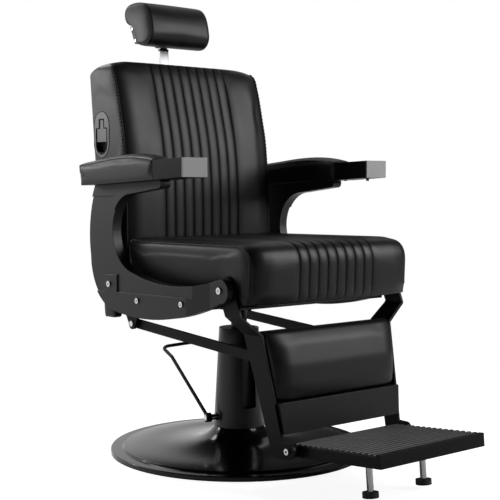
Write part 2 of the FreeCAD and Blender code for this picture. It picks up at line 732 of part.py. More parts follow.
def arm_pad():
    """Upholstered pad of the left armrest, crowned and highest at its middle."""
    out = ARM_IN + ARM_WIDTH
    ends = [(PAD_LOW_REAR, PAD_TOP_REAR, 3), ((180, pad_low(180)), (185, 795), 0),
            ((PAD_CREST[0], pad_low(PAD_CREST[0])), PAD_CREST, 0), (PAD_LOW_FRONT, PAD_TOP_FRONT, 1)]
    sections = []
    for low, high, inset in ends:
        near, far = ARM_IN + inset, out - inset
        corners = [V(near, *low), V(near, *high), V(far, *high), V(far, *low)]
        lift = V(0, *towards(low, high, PAD_CROWN)) - V(0, *low)
        crest = (corners[1] + corners[2]) / 2 + lift
        edges = [Part.makeLine(corners[0], corners[1]), Part.Arc(corners[1], crest, corners[2]).toShape(),
                 Part.makeLine(corners[2], corners[3]), Part.makeLine(corners[3], corners[0])]
        sections.append(Part.Wire(edges))
    return Part.makeLoft(sections, True, True)


def armrest():
    """Pad, block, end plate and the screws under the bracket, left side."""
    out = ARM_IN + ARM_WIDTH
    rear_low, rear_high = PAD_LOW_FRONT, PAD_TOP_FRONT
    front_low = (BLOCK_FRONT, rear_low[1] + BLOCK_RISE + 2)
    front_high = (BLOCK_FRONT, rear_high[1] + BLOCK_RISE)
    block = slab(ARM_IN + 1, out - 1, rear_low, rear_high, front_high, front_low)
    plate = slab(ARM_IN, out, front_low, front_high, (BLOCK_FRONT - PLATE_T, front_high[1]),
                 (BLOCK_FRONT - PLATE_T, front_low[1]))
    middle = FRAME_IN + FRAME_T / 2
    screw_foot = rear_low[1] - ARM_SCREW_R / 2
    screws = [post(ARM_SCREW_R, screw_foot, screw_foot + ARM_SCREW_LENGTH, middle, y) for y in ARM_SCREWS]
    block = block.cut(screws)
    return arm_pad(), block, plate, screws


def seat():
    """Everything that is bolted to the tray."""
    frame = side_frame()
    pad, block, plate, screws = armrest()
    rail_out = RAIL_IN + RAIL_T
    leg_out = leg_top_in() + LEG_T
    bolts = pair(pivot_bolt(RECLINE, RAIL_IN)) + pair(pivot_bolt(SWING, leg_top_in()))
    bushes = pair(pivot_bush(RECLINE, rail_out)) + pair(pivot_bush(SWING, leg_out))
    eye_half = SPRING_EYE_W / 2
    hanger_x = SPRING_X + eye_half + PLAY
    foot = SPRING_FRONT[1] - 2 * SPRING_PIN_R
    hanger = slab(hanger_x, hanger_x + TRAY_T, (SPRING_FRONT[0] - 20, TRAY_Z), (SPRING_FRONT[0] + 20, TRAY_Z),
                  (SPRING_FRONT[0] + 10, foot), (SPRING_FRONT[0] - 10, foot))
    hanger = fused(hanger, bar(SPRING_PIN_R, SPRING_X - eye_half - PLAY, hanger_x, SPRING_FRONT))
    return {
        "seat_cushion": seat_cushion(),
        "side_frame_left": frame,
        "side_frame_right": mirrored(frame),
        "frame_bolts": frame_bolts(BOLT_HEAD_R),
        "pivot_bolts": bolts,
        "pivot_bushes": bushes,
        "arm_pad_left": pad,
        "arm_pad_right": mirrored(pad),
        "arm_block_left": block,
        "arm_block_right": mirrored(block),
        "arm_plate_left": plate,
        "arm_plate_right": mirrored(plate),
        "arm_screws": screws + [mirrored(screw) for screw in screws],
        "recline_spring_bracket": hanger,
    }


# Backrest

def rear(z):
    """Y of the backrest's rear face at a height."""
    return BACK_REF[0] + (z - BACK_REF[1]) * math.tan(math.radians(BACK_LEAN))


def board_face(z):
    """Y of the board's front face, where the cushion and the frame lie on it, at a height."""
    return rear(z) - BOARD_T / math.cos(math.radians(BACK_LEAN))


def leaned(shape):
    """Lean a piece built upright, with the rear face at the reference y, to the backrest's angle."""
    shape = shape.copy()
    shape.rotate(V(0, *BACK_REF), ALONG_X, -BACK_LEAN)
    return shape


def release_hole(grow, x_low, x_high):
    """Upright oval bar through the right side of the backrest."""
    y, z = RELEASE
    half = RELEASE_HALF + grow
    run = RELEASE_HEIGHT / 2 - RELEASE_HALF
    return slab(x_low, x_high, (y - half, z - run), (y - half, z + run),
                ((y, z + run + half), (y + half, z + run)), (y + half, z - run),
                ((y, z - run - half), (y - half, z - run)))


def back_cushion():
    """Channelled back with a rolled top edge, hollow behind for the frame, and two ears below."""
    tilt = math.tan(math.radians(BACK_TOP_SLOPE))

    def level(z, front, wing, inset):
        return quilted(lambda x, h: V(x, -h, z), BACK_HALF - inset, BACK_CORNER, -front, -board_face(z),
                       BACK_PITCH, wing)

    sections = [level(z, front, wing, 0) for z, front, wing in BACK_FRONT]
    last = BACK_FRONT[-1][1]
    sections.append(level(BACK_TOP - BACK_EDGE * 0.6, last + BACK_EDGE * 0.6, 4, BACK_EDGE * 0.2))
    sections.append(level(BACK_TOP, last + BACK_EDGE * 1.6, 0, BACK_EDGE))
    pad = Part.makeLoft(sections, True, True)
    step_y, step_z = BACK_STEP
    ears = slab(-BACK_HALF, BACK_HALF, (step_y, step_z), (step_y, BACK_FOOT + 10),
                ((step_y + 3, BACK_FOOT + 3), (step_y + 10, BACK_FOOT)), (board_face(BACK_FOOT), BACK_FOOT),
                (board_face(step_z), step_z))
    far = rear(BACK_TOP) + 60
    ridge = last + 1.8 * BACK_EDGE
    wedge = slab(-BACK_HALF - 1, BACK_HALF + 1, (ridge, BACK_TOP + 1), (far, BACK_TOP + 1),
                 (far, BACK_TOP - (far - ridge) * tilt), (ridge, BACK_TOP))
    face = BACK_REF[0] - BOARD_T
    hollow = leaned(box(-POCKET_HALF, POCKET_HALF, face - POCKET_DEEP, face + 5, step_z - 20, POCKET_TOP))
    well = slab(-POCKET_HALF, POCKET_HALF, (step_y - 1, step_z), (step_y - 1, BACK_FOOT - 1),
                (rear(BACK_FOOT), BACK_FOOT - 1), (rear(step_z), step_z))
    foot_edge, head_edge = sideways(*gusset_edge(), SOFT_GAP)
    rail_slot = slab(RAIL_IN - SOFT_GAP, RAIL_IN + RAIL_T + SOFT_GAP, foot_edge, head_edge,
                     (board_face(GUSSET_HIGH), head_edge[1]), (board_face(GUSSET_HIGH), foot_edge[1]))
    throat = leaned(post_sleeve(SOCKET_PLAY * 5, POCKET_TOP - 10, BACK_TOP + 60))
    cup = release_hole(0, -BACK_HALF - 1, RELEASE_DEEP - BACK_HALF)
    return fused(pad, ears).cut([wedge, hollow, well, throat, cup] + pair(rail_slot))


def post_sleeve(grow, z_low, z_high):
    """Upright block on the headrest post's section, grown all round."""
    y = BACK_REF[0] - POST_BACK
    half_x = POST_W / 2 + grow
    half_y = POST_T / 2 + grow
    return box(-half_x, half_x, y - half_y, y + half_y, z_low, z_high)


def gusset_edge():
    """Front edge of a rail's lower plate, from the recline boss up to the straight rail."""
    foot = (RECLINE[0] + 8, RECLINE[1] + RECLINE_BOSS - 1)
    return [foot, (board_face(GUSSET_HIGH) - RAIL_DEEP, GUSSET_HIGH)]


def back_frame():
    """Welded frame: two side rails with pivot plates, cross flats and the low cross bar."""
    face = BACK_REF[0] - BOARD_T
    inner = RAIL_IN
    outer = inner + RAIL_T
    join = GUSSET_HIGH
    rail = leaned(box(inner, outer, face - RAIL_DEEP, face, join - 60, RAIL_TOP))
    y, z = RECLINE
    link_y, link_z = LINK_REAR
    plate = slab(inner, outer, (y - RECLINE_BOSS * 0.9, z - 9), (link_y - LINK_BOSS * 0.9, link_z - 7),
                 (link_y + LINK_BOSS, link_z), (board_face(GUSSET_LOW), GUSSET_LOW), (board_face(join), join),
                 *reversed(gusset_edge()))
    plate = fused(plate, bar(RECLINE_BOSS, inner, outer, RECLINE), bar(LINK_BOSS, inner, outer, LINK_REAR),
                  rail)
    plate = plate.cut([bar(PIVOT_R + RUN, inner, outer, RECLINE), bar(LINK_PIN_R, inner, outer, LINK_REAR)])
    front = BACK_REF[0] - POST_BACK - POST_T / 2 - SOCKET_WALL
    flats = [leaned(box(-inner, inner, front - FLAT_T, front, foot, foot + FLAT_H)) for foot in FLATS]
    return fused(plate, mirrored(plate), bar(CROSS_BAR_R, -inner, inner, SPRING_REAR), *flats)


def link_pin(head):
    """Pin through the left rail's lower boss that carries a link bar inside the rail."""
    inner = RAIL_IN
    outer = inner + RAIL_T
    link_out = LINK_IN + LINK_T
    link_in = LINK_IN - PLAY
    collar_r = LINK_PIN_R + LINK_COLLAR
    return fused(bar(LINK_PIN_R, link_in, outer, LINK_REAR), bar(head, outer, outer + LINK_COLLAR, LINK_REAR),
                 bar(collar_r, link_out + PLAY, inner, LINK_REAR),
                 bar(collar_r, link_in - LINK_COLLAR, link_in, LINK_REAR))


def release():
    """Oval housing with its mouth and the sprung paddle that hangs in it."""
    y = RELEASE[0]
    out = -BACK_HALF - RELEASE_PROUD
    skin = -BACK_HALF
    housing = fused(release_hole(0, skin, RELEASE_DEEP - BACK_HALF), release_hole(3, out, skin))
    low, high = y - MOUTH_HALF, y + MOUTH_HALF
    chin = MOUTH_FOOT + MOUTH_HALF
    mouth = slab(out - 1, out + MOUTH_DEEP, (low, MOUTH_TOP), (low, chin), ((y, MOUTH_FOOT), (high, chin)),
                 (high, MOUTH_TOP))
    stem_half = STEM_HALF + TRIGGER_GAP
    slot = box(out - 1, out + MOUTH_DEEP / 2, y - stem_half, y + stem_half,
               MOUTH_TOP, STEM_TOP + TRIGGER_GAP)
    hinge_x = out + TRIGGER_T / 2 + RELEASE_PROUD / 2
    hinge_z = STEM_TOP - TRIGGER_T / 2
    hinge = V(hinge_x, y - stem_half - TRIGGER_GAP, hinge_z)
    hole = Part.makeCylinder(TRIGGER_PIN_R + RUN, 2 * (stem_half + TRIGGER_GAP), hinge, ALONG_Y)
    paddle_half = MOUTH_HALF - TRIGGER_GAP
    paddle_top = MOUTH_TOP - TRIGGER_GAP
    face = hinge_x - TRIGGER_T / 2
    paddle = box(face, face + TRIGGER_T, y - paddle_half, y + paddle_half, PADDLE_FOOT, paddle_top)
    stem = box(face, face + TRIGGER_T, y - STEM_HALF, y + STEM_HALF, paddle_top, hinge_z)
    barrel = Part.makeCylinder(TRIGGER_T / 2, 2 * STEM_HALF, V(hinge_x, y - STEM_HALF, hinge_z), ALONG_Y)
    pin_at = hinge + V(0, TRIGGER_GAP / 2, 0)
    pin = Part.makeCylinder(TRIGGER_PIN_R, 2 * stem_half + TRIGGER_GAP, pin_at, ALONG_Y)
    return {
        "release_housing": housing.cut([mouth, slot, hole]),
        "release_trigger": fused(paddle, stem, barrel, pin),
    }


def backrest():
    """Board, frame, cushion, link pins and headrest socket."""
    face = BACK_REF[0] - BOARD_T
    half = BACK_HALF - BOARD_INSET
    board = leaned(box(-half, half, face, BACK_REF[0], BACK_FOOT + BOARD_INSET, BOARD_TOP))
    socket_foot = SOCKET_TOP - SOCKET_LENGTH
    socket = post_sleeve(SOCKET_WALL, socket_foot, SOCKET_TOP)
    socket = socket.cut(post_sleeve(SOCKET_PLAY, socket_foot, SOCKET_TOP))
    return {
        "back_board": board,
        "back_frame": back_frame(),
        "back_cushion": back_cushion(),
        "link_pins": pair(link_pin(LINK_HEAD_R)),
        "headrest_socket": leaned(socket),
    }


# Headrest

def hinge_point():
    """Side point of the headrest hinge, behind the leaned post axis."""
    point = leaned(Part.Vertex(0, BACK_REF[0] - POST_BACK + HINGE_BACK, POST_HINGE)).Point
    return point.y, point.z


def head_at(offset, scale=1.0):
    """Side point at an offset from the middle of the headrest cushion."""
    return tuple(h + m + p * scale for h, m, p in zip(hinge_point(), HEAD_MID, offset))


def head_section(x, scale):
    """Comma-shaped headrest outline, drawn in about its middle."""
    arcs = [(head_at(middle, scale), head_at(end, scale)) for middle, end in HEAD_ARCS]
    return outline(x, head_at(HEAD_PLATE_LOW, scale), head_at(HEAD_PLATE_HIGH, scale), *arcs)


def headrest():
    """Post with its knuckle and collar, and the cushion on its hinge plate."""
    hinge = hinge_point()
    y = BACK_REF[0] - POST_BACK
    upright = (y + HINGE_BACK, POST_HINGE)
    collar_top = COLLAR_FOOT + COLLAR_H
    stem = box(-POST_W / 2, POST_W / 2, y - POST_T / 2, y + POST_T / 2, POST_FOOT, collar_top)
    neck = slab(-KNUCKLE_HALF, KNUCKLE_HALF, (y - POST_T / 2, collar_top), (y + POST_T / 2, collar_top),
                (y + HINGE_BACK + POST_T / 2, POST_HINGE), (y + HINGE_BACK - POST_T / 2, POST_HINGE))
    stem = fused(stem, neck, bar(KNUCKLE_R, -KNUCKLE_HALF, KNUCKLE_HALF, upright))
    stem = leaned(stem.cut(bar(HINGE_PIN_R + RUN, -POST_W, POST_W, upright)))
    collar = post_sleeve(COLLAR_WALL, COLLAR_FOOT, collar_top)
    collar = leaned(collar.cut(post_sleeve(0, COLLAR_FOOT, collar_top)))
    ends = [(HEAD_HALF - inset, scale) for inset, scale in HEAD_ENDS]
    stations = [(-x, scale) for x, scale in ends] + [(x, scale) for x, scale in reversed(ends)]
    cushion = Part.makeLoft([head_section(x, scale) for x, scale in stations], True, True)
    low, high = head_at(HEAD_PLATE_LOW), head_at(HEAD_PLATE_HIGH)
    low = towards(low, high, SOFT_GAP)
    high = towards(high, low, SOFT_GAP)
    back = [(y + HEAD_PAN_DEEP, z) for y, z in (low, high)]
    floor = [(y + HEAD_PAN_DEEP - HEAD_PLATE_T, z) for y, z in (low, high)]
    inner = HEAD_PLATE_HALF - HEAD_PLATE_T
    hollow = slab(-inner, inner, towards(low, high, HEAD_PLATE_T), towards(high, low, HEAD_PLATE_T),
                  towards(*reversed(floor), HEAD_PLATE_T), towards(*floor, HEAD_PLATE_T))
    plate = slab(-HEAD_PLATE_HALF, HEAD_PLATE_HALF, low, high, back[1], back[0]).cut(hollow)
    foot = towards(*back, KNUCKLE_R)
    crown = towards(*back, 4 * KNUCKLE_R)
    lug_in = KNUCKLE_HALF + PLAY
    reach = KNUCKLE_R * 0.7
    lug = slab(lug_in, lug_in + LUG_T, foot, crown, (hinge[0] + reach, hinge[1] + reach),
               (hinge[0] - reach, hinge[1] - reach))
    lug = fused(lug, bar(KNUCKLE_R, lug_in, lug_in + LUG_T, hinge))
    pin_half = lug_in + LUG_T + PLAY
    plate = fused(plate, *pair(lug)).cut(bar(HINGE_PIN_R, -pin_half, pin_half, hinge))
    screws = []
    for share in (0.18, 0.86):
        y, z = towards(low, high, share * math.dist(low, high))
        at = (y + HEAD_PAN_DEEP / 2, z)
        screws += pair(bar(HEAD_SCREW_R, HEAD_PLATE_HALF, HEAD_PLATE_HALF + HEAD_SCREW_H, at))
    return {
        "headrest_post": stem,
        "headrest_collar": collar,
        "headrest_cushion": cushion,
        "headrest_plate": plate,
        "headrest_screws": screws,
        "headrest_hinge_pin": bar(HINGE_PIN_R, -pin_half, pin_half, hinge),
    }


# Recline linkage

def recline_link():
    """Flat bar of the left side from the backrest to the footrest arm."""
    outer = LINK_IN + LINK_T
    front_eye = LINK_PIN_R + LINK_PLAY + LINK_HEIGHT / 4
    low = sideways(LINK_REAR, LINK_FRONT, LINK_HEIGHT / 2)
    high = sideways(LINK_REAR, LINK_FRONT, -LINK_HEIGHT / 2)
    link = fused(slab(LINK_IN, outer, low[0], low[1], high[1], high[0]),
                 bar(LINK_HEIGHT / 2, LINK_IN, outer, LINK_REAR), bar(front_eye, LINK_IN, outer, LINK_FRONT))
    return link.cut([bar(LINK_PIN_R + RUN, LINK_IN, outer, LINK_REAR),
                     bar(LINK_PIN_R + LINK_PLAY, LINK_IN, outer, LINK_FRONT)])


def along(start, end, radius, from_start, length):
    """Round bar in the gas spring's plane, on the line from start to end."""
    a = V(SPRING_X, *towards(start, end, from_start))
    b = V(SPRING_X, *towards(start, end, from_start + length))
    return Part.makeCylinder(radius, length, a, b - a)


def linkage():
    """Link bars and the locking gas spring."""
    link = recline_link()
    eye_low = SPRING_X - SPRING_EYE_W / 2
    eye_high = SPRING_X + SPRING_EYE_W / 2
    front, back = SPRING_FRONT, SPRING_REAR
    wall = SPRING_R
    tube = fused(along(front, back, SPRING_R, wall / 2, SPRING_LENGTH - wall / 2),
                 bar(wall, eye_low, eye_high, front))
    tube = tube.cut([along(front, back, SPRING_BORE, 1.25 * wall, SPRING_LENGTH),
                     bar(SPRING_PIN_R + RUN, eye_low, eye_high, front)])
    eye_r = CROSS_BAR_R + SPRING_ROD_R
    rod = fused(along(back, front, SPRING_ROD_R, CROSS_BAR_R + 1, SPRING_ROD),
                bar(eye_r, eye_low, eye_high, back))
    rod = rod.cut(bar(CROSS_BAR_R + RUN, eye_low, eye_high, back))
    return {
        "recline_link_left": link,
        "recline_link_right": mirrored(link),
        "gas_spring_cylinder": tube,
        "gas_spring_rod": rod,
    }


# Footrest

def leg_top_in():
    """X of the inner face of a footrest arm beside the side frame."""
    return FRAME_IN - SOFT_GAP - LEG_T


def leg_in(z):
    """X of the inner face of a footrest arm at a height below its bend."""
    return LEG_HALF + LEG_SPLAY * (z - STEP_PIVOT[1])


def between_arms(inset):
    """Block that fills the room between the footrest arms, less an inset at each side."""
    corners = [(-1, 0), (1, 0), (1, SEAT_LIP), (-1, SEAT_LIP), (-1, 0)]
    wire = Part.makePolygon([V(side * (leg_in(z) - inset), -FAR, z) for side, z in corners])
    return Part.Face(wire).extrude(V(0, FAR, 0))


def footrest_arm():
    """Left footrest arm: flat bar bent inwards under the seat, with an eye at each end."""
    top_in = leg_top_in()
    low_in = leg_in(LEG_BEND_LOW)
    slope = math.atan2(top_in - low_in, LEG_BEND_TOP - LEG_BEND_LOW)
    rise = LEG_T * math.tan(slope / 2)
    bend_in = LEG_BEND_LOW + rise
    strip = [(top_in + LEG_T, FAR), (top_in + LEG_T, LEG_BEND_TOP), (low_in + LEG_T, LEG_BEND_LOW),
             (leg_in(0) + LEG_T, 0), (leg_in(0), 0), (leg_in(bend_in), bend_in),
             (top_in, LEG_BEND_TOP + rise), (top_in, FAR)]
    wire = Part.makePolygon([V(x, -FAR, z) for x, z in strip + strip[:1]])
    strip = Part.Face(wire).extrude(V(0, FAR, 0))
    y, z = SWING
    foot_y, foot_z = STEP_PIVOT
    r = LEG_EYE_R
    front_top, front_low, rear_low, rear_top = LEG_BEND_LINE
    side = slab(0, top_in + LEG_T + 1, (y + r, z), ((y, z + r), (y - r, z)), front_top, front_low,
                (foot_y + 19, foot_z + 19), (foot_y - 8, foot_z + 19),
                ((foot_y - STEP_EYE_R - 2, foot_z), (foot_y - 8, foot_z - 19)), (foot_y + 30, foot_z - 24),
                ((foot_y + 53, foot_z - 16), (foot_y + 66, foot_z + 6)), rear_low, rear_top)
    holes = [bar(PIVOT_R + RUN, top_in - 1, top_in + LEG_T + 1, SWING),
             bar(STEP_BOLT_R, STEP_HALF, leg_in(foot_z) + 2 * LEG_T, STEP_PIVOT),
             bar(LINK_PIN_R, LINK_IN, link_pin_end(), LINK_FRONT)]
    return strip.common(side).cut(holes)


def link_pin_end():
    """X of the end of a footrest link pin, halfway through the arm."""
    return leg_in(LINK_FRONT[1]) + LEG_T / 2


def leg_panel():
    """Folded sheet between the arms: boxed kick panel below, shelf, and backing of the pad above."""
    shelf = (PANEL_FOLD[0] + PANEL_SHELF, PANEL_FOLD[1])
    skin = [PANEL_FOOT, PANEL_FOLD, shelf, PANEL_TOP]
    low = sideways(PANEL_FOOT, PANEL_FOLD, -PANEL_T)
    high = sideways(shelf, PANEL_TOP, -PANEL_T)
    under = [high[1], (high[0][0], shelf[1] - PANEL_T), (low[1][0], shelf[1] - PANEL_T), low[0]]
    sheet = slab(-SEAT_HALF, SEAT_HALF, *skin, *under).common(between_arms(0))
    box_in = slab(-SEAT_HALF, SEAT_HALF, PANEL_FOOT, PANEL_FOLD, shelf, (shelf[0], PANEL_FOOT[1]))
    returns = box_in.common(between_arms(0)).cut(between_arms(PANEL_T))
    return fused(sheet, *returns.Solids)


def leg_pad():
    """Leg pad: crowned block on the panel's backing, thinner towards its ends."""
    shelf = (PANEL_FOLD[0] + PANEL_SHELF, PANEL_FOLD[1])
    face = sideways(shelf, PANEL_TOP, LEG_PAD_GAP)
    foot = towards(*face, 1.0)
    head = towards(*face, math.dist(*face) + LEG_PAD_OVER)
    toe = (PANEL_FOLD[0] + 4, PANEL_FOLD[1] + 1)
    brow = (head[0] - LEG_PAD_FRONT, head[1] - 14)
    crest = (head[0] - LEG_PAD_FRONT * 0.6, head[1] + 3)
    belly = ((toe[0] + brow[0]) / 2 - LEG_PAD_BELLY, (toe[1] + brow[1]) / 2)
    lean = math.degrees(math.atan(LEG_SPLAY))

    def section(x, share):
        def at(y, z):
            back = foot[0] + (head[0] - foot[0]) * (z - foot[1]) / (head[1] - foot[1])
            return back + (y - back) * share, z
        wire = outline(x, foot, head, (at(*crest), at(*brow)), (at(*belly), at(*toe)))
        wire.rotate(V(x, 0, foot[1]), ALONG_Y, math.copysign(lean, x))
        return wire

    half = leg_in(foot[1]) - SOFT_GAP
    ends = [(half - inset, share) for inset, share in LEG_PAD_ENDS]
    stations = [(-x, share) for x, share in ends] + [(x, share) for x, share in reversed(ends)]
    return Part.makeLoft([section(x, share) for x, share in stations], True, True)


def footrest():
    """Arms, panel, pad and the pins that the arms carry."""
    arm = footrest_arm()
    link_in = LINK_IN - PLAY
    collar_r = LINK_PIN_R + LINK_COLLAR
    collar_end = leg_in(LINK_FRONT[1] - collar_r)
    link_pin_front = fused(bar(LINK_PIN_R, link_in, link_pin_end(), LINK_FRONT),
                           bar(LINK_PIN_R + 2 * LINK_PLAY, link_in - LINK_COLLAR, link_in, LINK_FRONT),
                           bar(collar_r, LINK_IN + LINK_T + PLAY, collar_end, LINK_FRONT))
    head_in = leg_in(STEP_PIVOT[1] + STEP_HEAD_R) + LEG_T
    step_bolt = fused(bar(STEP_BOLT_R, STEP_HALF + PLAY, head_in, STEP_PIVOT),
                      bar(STEP_HEAD_R, head_in, head_in + STEP_HEAD_H, STEP_PIVOT))
    return {
        "footrest_arm_left": arm,
        "footrest_arm_right": mirrored(arm),
        "leg_panel": leg_panel(),
        "leg_pad": leg_pad(),
        "footrest_link_pins": pair(link_pin_front),
        "footplate_bolts": pair(step_bolt),
    }


def tread():
    """Ribbed tread behind the smooth nosing: ribs run across, as one sawn outline."""
    pitch = (STEP_DEPTH - NOSING) / RIBS
    points = [(NOSING, -RIB_H - TREAD_T), (NOSING, -RIB_H)]
    for i in range(RIBS):
        start = NOSING + i * pitch
        points += [(start + pitch * 0.3, -RIB_H), (start + pitch * 0.42, 0), (start + pitch * 0.78, 0),
                   (start + pitch * 0.9, -RIB_H)]
    points += [(STEP_DEPTH, -RIB_H), (STEP_DEPTH, -RIB_H - TREAD_T)]
    return slab(-STEP_HALF, STEP_HALF, *points)


def stepped(shape):
    """Set a piece built in the footplate's plane at its front edge and tilt."""
    shape = shape.copy()
    shape.rotate(V(), ALONG_X, -STEP_TILT)
    shape.translate(V(0, *STEP_FRONT))
    return shape


def footplate():
    """Tread, skirt bars, hinge lugs, and the two props with their feet."""
    deck = -RIB_H - TREAD_T
    inner = STEP_HALF - STEP_WALL
    skirt = [box(-STEP_HALF, STEP_HALF, 0, NOSING, -STEP_SKIRT, 0),
             box(-inner, inner, STEP_DEPTH - STEP_WALL, STEP_DEPTH, -STEP_SKIRT, deck)]
    skirt += pair(box(inner, STEP_HALF, NOSING, STEP_DEPTH, -STEP_SKIRT, deck))
    lug_out = leg_in(STEP_PIVOT[1] - LUG_R) - PLAY
    lug = bar(LUG_R, STEP_HALF, lug_out, STEP_PIVOT)
    lug = lug.cut(bar(STEP_BOLT_R + RUN, STEP_HALF, lug_out, STEP_PIVOT))
    prop = post(PROP_R, deck - PROP_LENGTH, deck, PROP_X, PROP_BACK)
    foot = post(FOOT_R, deck - PROP_LENGTH - FOOT_H, deck - PROP_LENGTH, PROP_X, PROP_BACK)
    return {
        "footplate_tread": stepped(tread()),
        "footplate_skirt": [stepped(piece) for piece in skirt],
        "footplate_lugs": pair(lug),
        "footplate_props": [stepped(piece) for piece in pair(prop)],
        "footplate_feet": [stepped(piece) for piece in pair(foot)],
    }


def main():
    """Build every piece and write one file each."""
    os.makedirs("parts", exist_ok=True)
    sections = (base, pump, pump_lever, lift, seat_mount, seat, backrest, release, headrest, linkage,
                footrest, footplate)
    for section in sections:
        for name, made in section().items():
            shape = Part.makeCompound(made) if isinstance(made, list) else made
            shape.exportStep(f"parts/{name}.step")
            print(name, len(shape.Solids), "solids", round(shape.Volume / 1000, 1), "cm3", shape.isValid())


main()
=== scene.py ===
"""Looks of a hydraulic barber chair: upholstery, finishes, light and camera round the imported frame.

Lengths are in metres in the frame's own axes: +Z up, the chair faces -Y, the sitter's right is -X.
Side outlines are (y, z) points in millimetres, because that is how an upholsterer's template is measured.
"""
import json
import logging
import math
from dataclasses import dataclass, field
from enum import Enum
from typing import Sequence

import bmesh
import bpy
import numpy as np
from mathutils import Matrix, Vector


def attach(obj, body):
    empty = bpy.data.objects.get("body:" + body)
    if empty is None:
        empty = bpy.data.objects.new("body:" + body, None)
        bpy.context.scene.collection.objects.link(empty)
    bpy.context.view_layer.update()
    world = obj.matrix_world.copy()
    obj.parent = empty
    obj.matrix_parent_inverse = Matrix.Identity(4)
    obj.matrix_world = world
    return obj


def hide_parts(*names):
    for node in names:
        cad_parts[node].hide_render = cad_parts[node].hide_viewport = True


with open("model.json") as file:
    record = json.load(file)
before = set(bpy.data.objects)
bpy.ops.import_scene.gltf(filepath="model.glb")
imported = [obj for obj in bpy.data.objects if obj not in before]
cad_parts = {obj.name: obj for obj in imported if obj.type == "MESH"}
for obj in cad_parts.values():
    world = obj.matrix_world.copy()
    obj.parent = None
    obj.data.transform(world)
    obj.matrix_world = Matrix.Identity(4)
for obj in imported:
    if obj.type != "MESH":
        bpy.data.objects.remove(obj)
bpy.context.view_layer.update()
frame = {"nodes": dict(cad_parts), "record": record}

MM = 0.001
COATING_IOR = 1.5       # vinyl, paint, nylon and rubber all lie near this
LOG = logging.getLogger("barber_chair")

Point2 = tuple[float, float]
Point3 = tuple[float, float, float]
Socket = bpy.types.NodeSocket


def linear(hex_colour: str) -> tuple[float, float, float, float]:
    """Turn an sRGB hex colour into linear values.

    Args:
        hex_colour: Colour as "#rrggbb".

    Returns:
        Linear red, green and blue with an alpha of one.
    """
    channels = [int(hex_colour[i:i + 2], 16) / 255 for i in (1, 3, 5)]
    flat = [c / 12.92 if c <= 0.04045 else ((c + 0.055) / 1.055) ** 2.4 for c in channels]
    return (flat[0], flat[1], flat[2], 1.0)


def add_node(tree: bpy.types.NodeTree, kind: str, inputs: dict | None = None,
             **settings: object) -> bpy.types.Node:
    """Add one node with its settings, values and links.

    Args:
        tree: Node tree that gets the node.
        kind: Blender's type name of the node.
        inputs: Socket name or index to a value, or to an output socket that is linked to it.
        **settings: Properties of the node itself.

    Returns:
        The new node.
    """
    node = tree.nodes.new(kind)
    for name, value in settings.items():
        setattr(node, name, value)
    for socket, value in (inputs or {}).items():
        if isinstance(value, Socket):
            tree.links.new(value, node.inputs[socket])
        else:
            node.inputs[socket].default_value = value
    return node


def cells_per_metre(size_mm: float) -> float:
    """Texture scale at which one cell of a pattern has a real size in millimetres."""
    return 1 / (size_mm * MM)


def new_material(name: str) -> tuple[bpy.types.Material, bpy.types.NodeTree]:
    """Make an empty node material.

    Args:
        name: Name of the real material.

    Returns:
        The material and its empty node tree.
    """
    material = bpy.data.materials.new(name)
    material.use_nodes = True
    material.node_tree.nodes.clear()
    return material, material.node_tree


class Recipe:
    """A node material in the making. Its patterns lie in object space, so they ride with the piece."""

    def __init__(self, name: str) -> None:
        """Start an empty material.

        Args:
            name: Name of the real material.
        """
        self.material, self.tree = new_material(name)
        self.place = add_node(self.tree, "ShaderNodeTexCoord").outputs["Object"]

    def noise(self, size_mm: float, detail: float = 2.0, stretch: Point3 | None = None) -> Socket:
        """Cloudy pattern from 0 to 1.

        Args:
            size_mm: Size of one cloud.
            detail: How many finer layers it has.
            stretch: Scale along the three axes, for marks that run one way.

        Returns:
            Socket of the pattern.
        """
        place = self.place
        if stretch:
            mapping = add_node(self.tree, "ShaderNodeMapping", {"Vector": place, "Scale": stretch})
            place = mapping.outputs["Vector"]
        pattern = add_node(self.tree, "ShaderNodeTexNoise", {
            "Vector": place, "Scale": cells_per_metre(size_mm), "Detail": detail})
        return pattern.outputs["Fac"]

    def between(self, share: Socket, low: float, high: float) -> Socket:
        """Value that runs from low to high with a pattern."""
        span = add_node(self.tree, "ShaderNodeMapRange", {"Value": share, "To Min": low, "To Max": high})
        return span.outputs["Result"]

    def blend(self, share: Socket, first: str, second: str) -> Socket:
        """Colour that runs from one hex colour to another with a pattern."""
        mix = add_node(self.tree, "ShaderNodeMix", {"Factor": share, "A": linear(first), "B": linear(second)},
                       data_type="RGBA")
        return mix.outputs["Result"]

    def bump(self, height: Socket, strength: float, depth_mm: float, edge_mm: float = 0.0) -> Socket:
        """Normal that a pattern raises.

        Args:
            height: Socket of the pattern.
            strength: Share of the depth that shows.
            depth_mm: Depth of the pattern.
            edge_mm: Radius that softens every edge, 0 for none.

        Returns:
            Socket of the normal.
        """
        inputs = {"Height": height, "Strength": strength, "Distance": depth_mm * MM}
        if edge_mm:
            edge = add_node(self.tree, "ShaderNodeBevel", {"Radius": edge_mm * MM}, samples=4)
            inputs["Normal"] = edge.outputs["Normal"]
        return add_node(self.tree, "ShaderNodeBump", inputs).outputs["Normal"]

    def finished(self, inputs: dict) -> bpy.types.Material:
        """Close the recipe with its surface shader, which gets these inputs."""
        shader = add_node(self.tree, "ShaderNodeBsdfPrincipled", inputs)
        add_node(self.tree, "ShaderNodeOutputMaterial", {"Surface": shader.outputs["BSDF"]})
        return self.material


